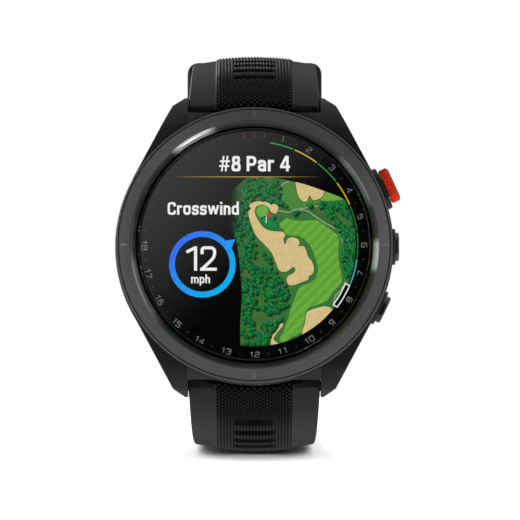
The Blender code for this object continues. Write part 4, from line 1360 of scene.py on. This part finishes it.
def button_caps():
    """The three pushers and the collars they move in."""
    for b in BUTTONS:
        bm = bmesh.new()
        stem(bm, b, 0)
        name = f"button_{b.name}_cap"
        if b.name == "upper":
            neck = pill(b.length - 0.7, b.width - 0.7, 16)
            raised(bm, neck, 22.6, b.cap_out - 0.3, b.frame, look=0, edge=0)
            knurled_band(bm, b, b.cap_out - 1.5, b.cap_out - 0.06, 1)
            lid = pill(b.length - 0.5, b.width - 0.5, 16)
            raised(bm, lid, b.cap_out - 0.3, b.cap_out + 0.1, b.frame, look=2, edge=0.15)
            looks = ["gunmetal", "red_metal", "guard"]
        else:
            shape = pill(b.length, b.width, 20)
            raised(bm, shape, 22.6, b.cap_out, b.frame, edge=0.3, edge_low=0.15, steps=4)
            ring = pill(b.length - 1.3, b.width - 1.3, 16)
            raised(bm, ring, b.cap_out - 0.2, b.cap_out + 0.03, b.frame, look=1, edge=0.1)
            looks = ["gunmetal", "guard"]
        piece(f"{name}_shell", bm, looks, f"button_{b.name}", [name])
        bm = bmesh.new()
        shape = pill(b.guard_length, b.guard_width, 20)
        raised(bm, shape, b.guard_low, b.guard_out, b.frame, edge=0.25, steps=4)
        opening = pill(b.length + 2 * GAP, b.width + 2 * GAP, 20)
        well = prism(opening, b.guard_low + 0.4, 30, b.frame)
        bm = boolean(bm, [well, disc_mesh(0.8, 20, 22, b.frame, 24)])
        piece(f"button_{b.name}_collar", bm, ["guard"], "case", [f"button_{b.name}_guard"])
        spring(b)


def spring(b):
    """The return spring."""
    low, high, radius, wire, turns = 21.6, 23.1, 0.95, 0.12, 3
    per_turn = 20
    count = turns * per_turn
    rings = []
    for i in range(count + 1):
        angle = TURN * i / per_turn
        climb = low + wire + (high - low - 2 * wire) * i / count
        out = Vector((math.cos(angle), math.sin(angle), 0))
        centre = out * radius + Vector((0, 0, climb))
        ring = []
        for k in range(8):
            lean = TURN * k / 8
            ring.append(b.frame @ (centre + out * wire * math.cos(lean)
                                   + Vector((0, 0, wire * math.sin(lean)))))
        rings.append(ring)
    bm = bmesh.new()
    loft(bm, rings)
    name = f"button_{b.name}_spring"
    ob = piece(f"{name}_coil", bm, ["steel"], "case", [name])
    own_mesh(ob)


# ---------------------------------------------------------------- strap


SHOULDER_R = 0.96
THICK = 2.8
SLOT_L = 7.5
SKIN_HALF = 11.12
EDGE_R = 0.3
ROOT_S = -2.2
BARREL_R = 2.0
BEND_NARROWS, TAIL_NARROWS = 0.85, 0.57
STRIP_RIM_R, FLANK_RIM_R = 23.75, 24.1
HOOK_HALF = 6.0


class Strap:
    """One strap half seen from the side, in (y, z) mm, by distance s from the case."""

    def __init__(self, side, tail_r, tail_len):
        self.side = side
        self.tail_r = tail_r
        self.start = math.acos((START_Z - ARC_Z) / ARC_R)
        self.bend = ARC_R * self.start
        self.length = self.bend + tail_len
        self.pin_s = (self.start - math.atan2(ARC_Y + PIN_H, PIN_Z - ARC_Z)) * ARC_R
        self.pin_depth = ARC_R - math.hypot(ARC_Y + PIN_H, PIN_Z - ARC_Z)

    def skin(self, s):
        """Point and outward normal of the outer face, for the twelve o'clock side."""
        if s < 0:
            quarter = math.pi / 2 - self.start
            turn = min(-s / SHOULDER_R, quarter)
            lean = self.start + turn
            y = ARC_Y - (ARC_R - SHOULDER_R) * math.sin(self.start) - SHOULDER_R * math.sin(lean)
            z = ARC_Z + (ARC_R - SHOULDER_R) * math.cos(self.start) + SHOULDER_R * math.cos(lean)
            z -= max(-s - SHOULDER_R * quarter, 0)
        elif s <= self.bend:
            lean = self.start - s / ARC_R
            y, z = ARC_Y - ARC_R * math.sin(lean), ARC_Z + ARC_R * math.cos(lean)
        else:
            lean = -(s - self.bend) / self.tail_r
            y = ARC_Y - self.tail_r * math.sin(lean)
            z = STRAP_TOP_Z - self.tail_r + self.tail_r * math.cos(lean)
        return Vector((0, y, z)), Vector((0, -math.sin(lean), math.cos(lean)))

    def back(self, s):
        """The inner face's point: thicker round the lug pin."""
        if s < 0:
            root = Vector((0, -4.6, 22.1))
            return root.lerp(self.back(0), (s - ROOT_S) / -ROOT_S)
        point, normal = self.skin(s)
        off = min(abs(s - self.pin_s), BARREL_R)
        thick = max(THICK, self.pin_depth + math.sqrt(BARREL_R ** 2 - off * off))
        return point - normal * thick

    def place(self, s, depth=0.0):
        """A frame at a depth under the skin: X across, Y onward, Z outward."""
        point, n = self.skin(s)
        point = point - n * depth
        flip = self.side
        return Matrix((
            (flip, 0, 0, 0),
            (0, n.z, n.y, point.y),
            (0, -n.y * flip, n.z * flip, point.z * flip),
            (0, 0, 0, 1),
        ))

    def half_width(self, s, tip_round=0.0):
        """Half the width: it narrows over the bend, and a free tip is rounded."""
        bend = min(max(s, 0) / self.bend, 1.0)
        tail = max(s - self.bend, 0.0) / (self.length - self.bend)
        half = SKIN_HALF - BEND_NARROWS * bend - TAIL_NARROWS * tail
        left = self.length - s
        if tip_round and left < tip_round:
            half -= tip_round * (1 - math.sqrt(max(1 - (1 - left / tip_round) ** 2, 0.0)))
        return half


UPPER = Strap(1, 110.0, 48.0)
LOWER = Strap(-1, 170.0, 95.0)


def ease(value):
    """Smooth step from 0 to 1."""
    t = min(max(value, 0.0), 1.0)
    return t * t * (3 - 2 * t)


def relief(strap, x, s):
    """How far the strap's skin stands proud at a place: centre strip, ribs and dots."""
    left = strap.length - s
    strip = ease((STRIP_HALF + 0.12 - abs(x)) / 0.3) * ease(left / 6 - 0.6)
    column = round(x / RIB_PITCH)
    rib = 0.5 + 0.5 * math.cos(TURN * x / RIB_PITCH)
    phase = s / DOT_PITCH + 0.5 * (column % 2)
    dot = ease(0.5 + 0.9 * math.cos(TURN * phase))
    along = max(dot, ease((s - DOTS_END + 2.5) / 4.5))
    inner = ease((STRIP_HALF - 0.1 - abs(x)) / 0.2)
    crown = (0.42 - 1.0 * (x / 10.3) ** 2) * ease(left / 12)
    height = crown + strip * (0.18 + 0.22 * rib * along * inner)
    point, _ = strap.skin(s)
    if s < 2:
        rim = STRIP_RIM_R if abs(x) < STRIP_HALF else FLANK_RIM_R
        height -= 0.55 * ease((rim - math.hypot(x, point.z)) / 0.2)
    return height


def strap_columns(half):
    """Places across the skin: close together over the ribs, wide apart on the flats."""
    fine = 6
    reach = STRIP_HALF + 0.25
    count = round(2 * reach / RIB_PITCH * fine)
    centre = [-reach + 2 * reach * i / count for i in range(count + 1)]
    scale = min((half - 2.2) / STRIP_HALF, 1.0)
    centre = [x * max(scale, 0.1) for x in centre]
    edge = half - min(EDGE_R, half * 0.4)
    flat = [centre[-1] + (edge - centre[-1]) * i / 6 for i in range(1, 7)]
    return [-x for x in reversed(flat)] + centre + flat


def strap_ring(strap, s, tip_round):
    """One closed section of the strap: skin, right side, inner face, left side."""
    half = strap.half_width(s, tip_round)
    skin, normal = strap.skin(s)
    inward = strap.back(s) - skin
    thick = inward.length
    inward.normalize()
    edge = min(EDGE_R, half * 0.4)
    inner = half - edge
    ring = [Vector((x, 0, 0)) + skin + normal * relief(strap, x, s) for x in strap_columns(half)]
    drop = -relief(strap, inner, s)
    right = arc((inner, edge + drop), edge, -math.pi / 2, 0, 4)[1:]
    right += arc((inner, thick - edge), edge, 0, math.pi / 2, 4)
    base = [(inner - 2 * inner * i / 12, thick) for i in range(1, 12)]
    left = [(-x, depth) for x, depth in reversed(right)]
    ring += [Vector((x, 0, 0)) + skin + inward * depth for x, depth in [*right, *base, *left]]
    return [Vector((p.x, p.y, p.z * strap.side)) for p in ring]


def stations(strap, tip_round):
    """Distances along the strap at which it is sampled."""
    step = 0.11
    end = strap.length
    marks = [(ROOT_S, 9.0, step), (9.0, strap.bend, 0.5), (strap.bend, end - 10, 1.5),
             (end - 10, end - 1.0, 0.5), (end - 1.0, end - 0.03, 0.1)]
    places = []
    for low, high, gap in marks:
        count = max(round((high - low) / gap), 1)
        places += [low + (high - low) * i / count for i in range(count)]
    return places + [strap.length - 0.03]


def slot_cutter(strap, places, width):
    """Stadium slots through the strap."""
    bm = bmesh.new()
    for s in places:
        raised(bm, pill(SLOT_L, width, 12), -6.0, 3.0, strap.place(s), edge=0)
    return bm


def strap_half(strap, tip_round, first, pitch, width):
    """One strap half with its ribs, vents, pin bore and hook pocket."""
    bm = bmesh.new()
    rings = [strap_ring(strap, s, tip_round) for s in stations(strap, tip_round)]
    skin = len(strap_columns(5.0)) - 1
    for i, face in enumerate(loft(bm, rings)[:-2]):
        face.material_index = 1 if i % len(rings[0]) < skin else 0
    pin = Matrix.Translation((0, -PIN_H, strap.side * PIN_Z))
    bore = disc_mesh(PIN_R + GAP, -20, 20, pin @ ACROSS, 40)
    half = HOOK_HALF + GAP
    pocket = box_mesh((-half, -1.9, -4.0), (half, 4.0, 1.9),
                      strap.place(strap.pin_s, strap.pin_depth))
    vents = slot_cutter(strap, [first + pitch * i for i in range(4)], width)
    return boolean(bm, [vents, pocket, bore])


def strap_upper():
    """The twelve o'clock half, with the barrel that holds the buckle bar."""
    bm = strap_half(UPPER, 0.0, 7.0, 2.45, 1.3)
    centre = UPPER.place(UPPER.length, THICK / 2)
    half = UPPER.half_width(UPPER.length)
    tang_half = 2.0
    bore = disc_mesh(BAR_BORE_R, -20, 20, centre @ ACROSS, 40)
    slot = box_mesh((-tang_half, -2.4, -4), (tang_half, 4, 4), centre)
    bm = boolean(bm, [bore, slot])
    for start, end in ((-half, -tang_half), (tang_half, half)):
        ring = rounded(ring_outline(BAR_BORE_R, 1.7, start, end), 0.18, 3)
        turned(bm, ring, 48, centre @ ACROSS)
    piece("strap_top_half", bm, ["rubber", "ribbed"], "band_upper", ["strap_upper"], 40)


def strap_lower():
    """The six o'clock half with its row of tang slots."""
    bm = strap_half(LOWER, 9.0, 7.6, 3.4, 1.9)
    holes = [LOWER.length - 12.0 - 6.2 * i for i in range(9)]
    bm = boolean(bm, [slot_cutter(LOWER, holes, 1.3)])
    piece("strap_bottom_half", bm, ["rubber", "ribbed"], "band_lower", ["strap_lower"], 40)


# ---------------------------------------------------------------- buckle and keepers


def keeper(node_name, s, body):
    """A rubber loop with rounded walls and a raised rib along each edge."""
    place = UPPER.place(s)
    wide = UPPER.half_width(s - 6) + 0.4
    low, high = -THICK - 0.4, THICK + GAP
    wall, half = 1.2, 3.0
    mid_x, mid_low, mid_high = wide + wall / 2, low - wall / 2, high + wall / 2
    loop = rounded([(mid_x, mid_low), (mid_x, mid_high), (-mid_x, mid_high),
                    (-mid_x, mid_low)], 1.4, 6)
    top = wall / 2
    ridge = 0.16
    section = [(-half, -top), (half, -top), (half, top), (half - 0.7, top + ridge),
               (half - 1.2, top - 0.05), (-half + 1.2, top - 0.05),
               (-half + 0.7, top + ridge), (-half, top)]
    section = rounded(section, 0.3, 3)
    rings = []
    for i, here in enumerate(loop):
        along = (loop[(i + 1) % len(loop)] - loop[i - 1]).normalized()
        out = Vector((along.y, 0, -along.x))
        centre = Vector((here.x, 0, here.y))
        rings.append([place @ (centre + Vector((0, p.x, 0)) + out * p.y) for p in section])
    bm = bmesh.new()
    loft(bm, rings, caps=False, cyclic=True)
    piece(f"{node_name}_loop", bm, ["rubber"], body, [node_name], 50)


BUCKLE_REACH = 12.0
BUCKLE_CORNER = 1.6
BAR_BORE_R = 1.1
ARM_X = 10.9


def buckle():
    """The U-shaped frame, swept as one rounded bar, and the tang that rests on it."""
    centre = UPPER.place(UPPER.length, THICK / 2)
    path = [(-ARM_X, 0.0), (-ARM_X, BUCKLE_REACH - BUCKLE_CORNER)]
    path += [tuple(p) for p in arc((-ARM_X + BUCKLE_CORNER, BUCKLE_REACH - BUCKLE_CORNER),
                                   BUCKLE_CORNER, math.pi, math.pi / 2, 8)[1:]]
    path += [(-4.0, BUCKLE_REACH)]
    path += [(-x, y) for x, y in reversed(path)]
    section = block_outline(1.6, 2.4, 0.7, 5)
    bm = bmesh.new()
    rings = []
    for i, (x, y) in enumerate(path):
        before = Vector(path[max(i - 1, 0)])
        after = Vector(path[min(i + 1, len(path) - 1)])
        along = (after - before).normalized()
        side = Vector((along.y, -along.x, 0))
        rings.append([
            centre @ (Vector((x, y, 0)) + side * p.x + Vector((0, 0, p.y))) for p in section
        ])
    loft(bm, rings)
    bm = boolean(bm, [disc_mesh(BAR_BORE_R, -20, 20, centre @ ACROSS, 40)])
    for side in (-1, 1):
        boss = rounded(ring_outline(BAR_BORE_R, 1.35, -0.8, 0.8), 0.1, 2)
        boss = [(r, h + side * ARM_X) for r, h in boss]
        turned(bm, boss, 40, centre @ ACROSS)
    piece("buckle_bow", bm, ["gunmetal"], "buckle", ["buckle_frame"], 40)

    bm = bmesh.new()
    spine = smooth_curve([(0.9, 0.7), (4.0, 1.2), (8.0, 1.75), (BUCKLE_REACH, 2.15),
                          (BUCKLE_REACH + 1.6, 2.0)], 4, closed=False)
    rings = []
    for i, here in enumerate(spine):
        t = i / (len(spine) - 1)
        shape = block_outline(2.4 - 0.5 * t, 1.3 - 0.45 * t, 0.4, 4)
        rings.append([centre @ Vector((p.x, here.x, here.y + p.y)) for p in shape])
    loft(bm, rings)
    ring = rounded(ring_outline(BAR_BORE_R, 1.6, -1.7, 1.7), 0.15, 3)
    turned(bm, ring, 48, centre @ ACROSS)
    piece("buckle_prong", bm, ["steel"], "tang", ["buckle_tang"], 40)


# ---------------------------------------------------------------- case back


BOSS_R = 10.5
SOCKET_Z = -14.5


def rear_cover():
    """The back cover with its sensor boss, screw seats and socket opening."""
    shapes = cover_shape(0, COVER_OUT_H, COVER_IN_H)
    body = boolean(shapes[0], shapes[1:], "UNION")
    profile = [(0, 0.3), (BOSS_R - 0.6, 0.3), (BOSS_R, 0.55), (BOSS_R + 0.25, 0.95),
               (BOSS_R + 0.7, 1.03), (BOSS_R + 0.7, 1.5), (0, 1.5)]
    body = boolean(body, [lathed(profile, 160)], "UNION")
    cutters = [
        disc_mesh(WINDOW_R + 0.15, -1, 1.8, steps=128),
        disc_mesh(WINDOW_R - 0.7, 0, 4, steps=96),
    ]
    cutters.append(prism(block_outline(9.0, 3.6, 0.7), -1, 4, on_dial(0, SOCKET_Z)))
    for x, z in screw_places():
        cutters.append(disc_mesh(1.35, -1, 1.9, on_dial(x, z), 40))
        cutters.append(disc_mesh(0.9, 0, 4, on_dial(x, z), 32))
    cutters.append(lathed(ring_outline(20.4, 20.7, 0.8, 1.12), 160))
    body = boolean(body, cutters + notches(-1, 5))
    piece("case_back", body, ["polymer"], "case", ["rear_cover"], 30)


def sensor_window():
    """The tinted window with its lamps and light sensors showing through."""
    bm = bmesh.new()
    profile = [(0, 0), (WINDOW_R - 0.35, 0), (WINDOW_R - 0.08, 0.12), (WINDOW_R, 0.4),
               (WINDOW_R, 1.5), (0, 1.5)]
    turned(bm, profile, 160)
    facing = Matrix(((-1, 0, 0, 0), (0, 0, 1, 0), (0, 1, 0, 0), (0, 0, 0, 1)))
    proud = 0.012
    turned(bm, ring_outline(WINDOW_R - 1.3, WINDOW_R - 1.1, 0.1, -proud), 128, look=3)
    for i in range(4):
        angle = TURN * (i + 0.5) / 4
        spot = Matrix.Translation((4.4 * math.cos(angle), 4.4 * math.sin(angle), 0))
        raised(bm, block_outline(2.6, 2.0, 0.3), -0.1, proud, facing @ spot, look=2, edge=0)
        spot = Matrix.Translation((4.6 * math.cos(angle + TURN / 8),
                                   4.6 * math.sin(angle + TURN / 8), 0))
        raised(bm, pill(1.5, 1.49, 10), -0.1, proud, facing @ spot, look=1, edge=0)
    raised(bm, block_outline(2.2, 2.2, 0.3), -0.1, proud, facing, look=1, edge=0)
    piece("sensor_pane", bm, ["sensor", "led", "diode", "engraved"], "case", ["sensor_window"])


def rear_screws():
    """Four button-head screws with a six-point recess."""
    for i, (x, z) in enumerate(screw_places()):
        name = f"rear_screw_{i + 1}"
        place = on_dial(x, z)
        profile = [(0, 5.6), (0.4, 5.6), (0.6, 5.2), (0.6, 1.6), (1.1, 1.6), (1.1, 1.3),
                   (0.9, 1.14), (0.5, 1.1), (0, 1.1)]
        shape = []
        for k in range(24):
            reach = 0.42 + 0.1 * math.cos(6 * TURN * k / 24)
            shape.append(Vector((reach * math.cos(TURN * k / 24),
                                 reach * math.sin(TURN * k / 24))))
        head = boolean(lathed(profile, 32, place), [prism(shape, 0.5, 1.5, place)])
        piece(f"{name}_head", head, ["steel"], "case", [name])


def cad_looks():
    """Give the CAD nodes that stay shown their finished looks."""
    looks = {
        "seal": ["lens_gasket", "rear_gasket"],
        "polymer": ["display_carrier"],
        "board": ["main_board", "sensor_board"],
        "foil": ["battery"],
        "steel": ["vibration_motor", "buckle_bar"],
        "gold": ["gps_antenna"] + [f"charge_pin_{i}" for i in range(1, 5)],
        "guard": ["charge_socket", "lug_pin_upper", "lug_pin_lower"],
        "gunmetal": [f"band_{part}_{half}" for part in ("hook", "latch")
                     for half in ("upper", "lower")],
    }
    for b in BUTTONS:
        for look, part in (("seal", "seal"), ("steel", "washer"), ("foil", "switch")):
            looks[look].append(f"button_{b.name}_{part}")
    for look, names in looks.items():
        for name in names:
            mesh = frame["nodes"][name].data
            mesh.materials.clear()
            mesh.materials.append(LOOKS[look])


# ---------------------------------------------------------------- studio


CAMERA_LOW = math.radians(-3.2)
CAMERA_FAR = 1.2
PICTURE_WIDTH = 0.08736
AIM = Vector((0.957, -12.3, -2.52)) * MM


def camera():
    """A long lens, a little below the dial's own axis."""
    data = bpy.data.cameras.new("camera")
    data.sensor_width = 36.0
    data.lens = data.sensor_width * CAMERA_FAR / PICTURE_WIDTH
    data.clip_start, data.clip_end = 0.1, 20.0
    ob = show("camera", data)
    back = Vector((0, -math.cos(CAMERA_LOW), math.sin(CAMERA_LOW)))
    ob.location = AIM + back * CAMERA_FAR
    ob.rotation_mode = "QUATERNION"
    ob.rotation_quaternion = (-back).to_track_quat("-Z", "Y")
    SCENE.camera = ob


def world():
    """White for the camera; for light, a room that is dark in front and behind.

    The ramp runs from straight behind the watch to straight in front of it.
    """
    made = bpy.data.worlds.new("studio")
    SCENE.world = made
    made.use_nodes = True
    tree = made.node_tree
    tree.nodes.clear()
    seen = node(tree, "LightPath").outputs["Is Camera Ray"]
    white = node(tree, "Background", {"Color": (1, 1, 1, 1), "Strength": 1.0})
    way = split(tree, node(tree, "TexCoord").outputs["Generated"])
    ramp = node(tree, "ValToRGB", {"Fac": remap(tree, way["Y"], 1.0, -1.0)})
    ramp.color_ramp.interpolation = "EASE"
    stops = ramp.color_ramp.elements
    stops[0].position, stops[0].color = 0.02, (0.12, 0.12, 0.12, 1)
    stops[1].position, stops[1].color = 0.965, (0.02, 0.02, 0.02, 1)
    for position, level in ((0.2, 0.75), (0.42, 0.34), (0.6, 0.28), (0.8, 0.36)):
        stops.new(position).color = (level, level, level * 1.02, 1)
    room = node(tree, "Background", {"Color": ramp.outputs["Color"], "Strength": 1.0})
    both = node(tree, "MixShader", {
        0: seen, 1: room.outputs["Background"], 2: white.outputs["Background"],
    })
    node(tree, "OutputWorld", {"Surface": both.outputs["Shader"]})


def softbox(name, spot, size, power):
    """An area light that faces the origin; places in mm, power in watts."""
    data = bpy.data.lights.new(name, "AREA")
    data.shape = "RECTANGLE"
    data.size, data.size_y = size[0] * MM, size[1] * MM
    data.energy = power
    ob = show(name, data)
    ob.location = Vector(spot) * MM
    ob.rotation_mode = "QUATERNION"
    ob.rotation_quaternion = (-Vector(spot)).to_track_quat("-Z", "Y")


def lights():
    """Soft key from the upper left, a strip on the left, fills above, right and below."""
    softbox("key", (-350, -600, 520), (500, 400), 0.35)
    softbox("strip_left", (-640, -240, 20), (50, 420), 0.9)
    softbox("top", (0, -120, 650), (500, 300), 0.2)
    softbox("right", (560, -350, 120), (160, 420), 0.2)
    softbox("under", (0, -420, -420), (600, 160), 0.05)
    softbox("under_right", (380, -300, -620), (160, 200), 0.45)
    softbox("behind", (-380, 560, 260), (300, 300), 1.2)


FLOOR_TILT = math.radians(5.2)


def floor():
    """A plain white floor that the strap rests on, seen at a grazing angle."""
    look, tree, shader = blank("floor")
    soft = node(tree, "TexNoise", {"Vector": own_place(tree), "Scale": 3.0, "Detail": 2.0})
    tone = mixed(tree, soft.outputs["Fac"], (0.93, 0.93, 0.93), (0.96, 0.96, 0.96))
    feed(tree, shader, {"Base Color": tone, "Roughness": 0.9, "Specular IOR Level": 0.1})
    mesh = bpy.data.meshes.new("floor")
    front, back, side = -1.3, 0.16, 0.9
    mesh.from_pydata([(-side, front, 0), (side, front, 0), (side, back, 0), (-side, back, 0)],
                     [], [(0, 1, 2, 3)])
    mesh.materials.append(look)
    ob = show("floor", mesh)
    ob.visible_glossy = False
    ob.visible_shadow = False
    lamp = bpy.data.lights.new("floor_light", "SUN")
    lamp.energy = 4.6
    lamp.angle = math.radians(130)
    sun = show("floor_light", lamp)
    sun.rotation_euler = (math.radians(15), 0, 0)
    only = bpy.data.collections.new("floor_only")
    only.objects.link(ob)
    sun.light_linking.receiver_collection = only
    touch = LOWER.tail_r * math.sin(FLOOR_TILT)
    drop = LOWER.tail_r * (1 - math.cos(FLOOR_TILT))
    ob.location = (0, (ARC_Y + touch) * MM, (-STRAP_TOP_Z + drop - 0.35) * MM)
    ob.rotation_euler = (FLOOR_TILT, 0, 0)


case_middle()
bezel()
lens()
number_ring()
screen()
button_caps()
strap_upper()
strap_lower()
keeper("keeper_fixed", UPPER.length - 11.0, "band_upper")
keeper("keeper_free", UPPER.length - 22.0, "keeper")
buckle()
rear_cover()
sensor_window()
rear_screws()
cad_looks()
camera()
world()
lights()
floor()
SCENE.view_settings.view_transform = "Standard"
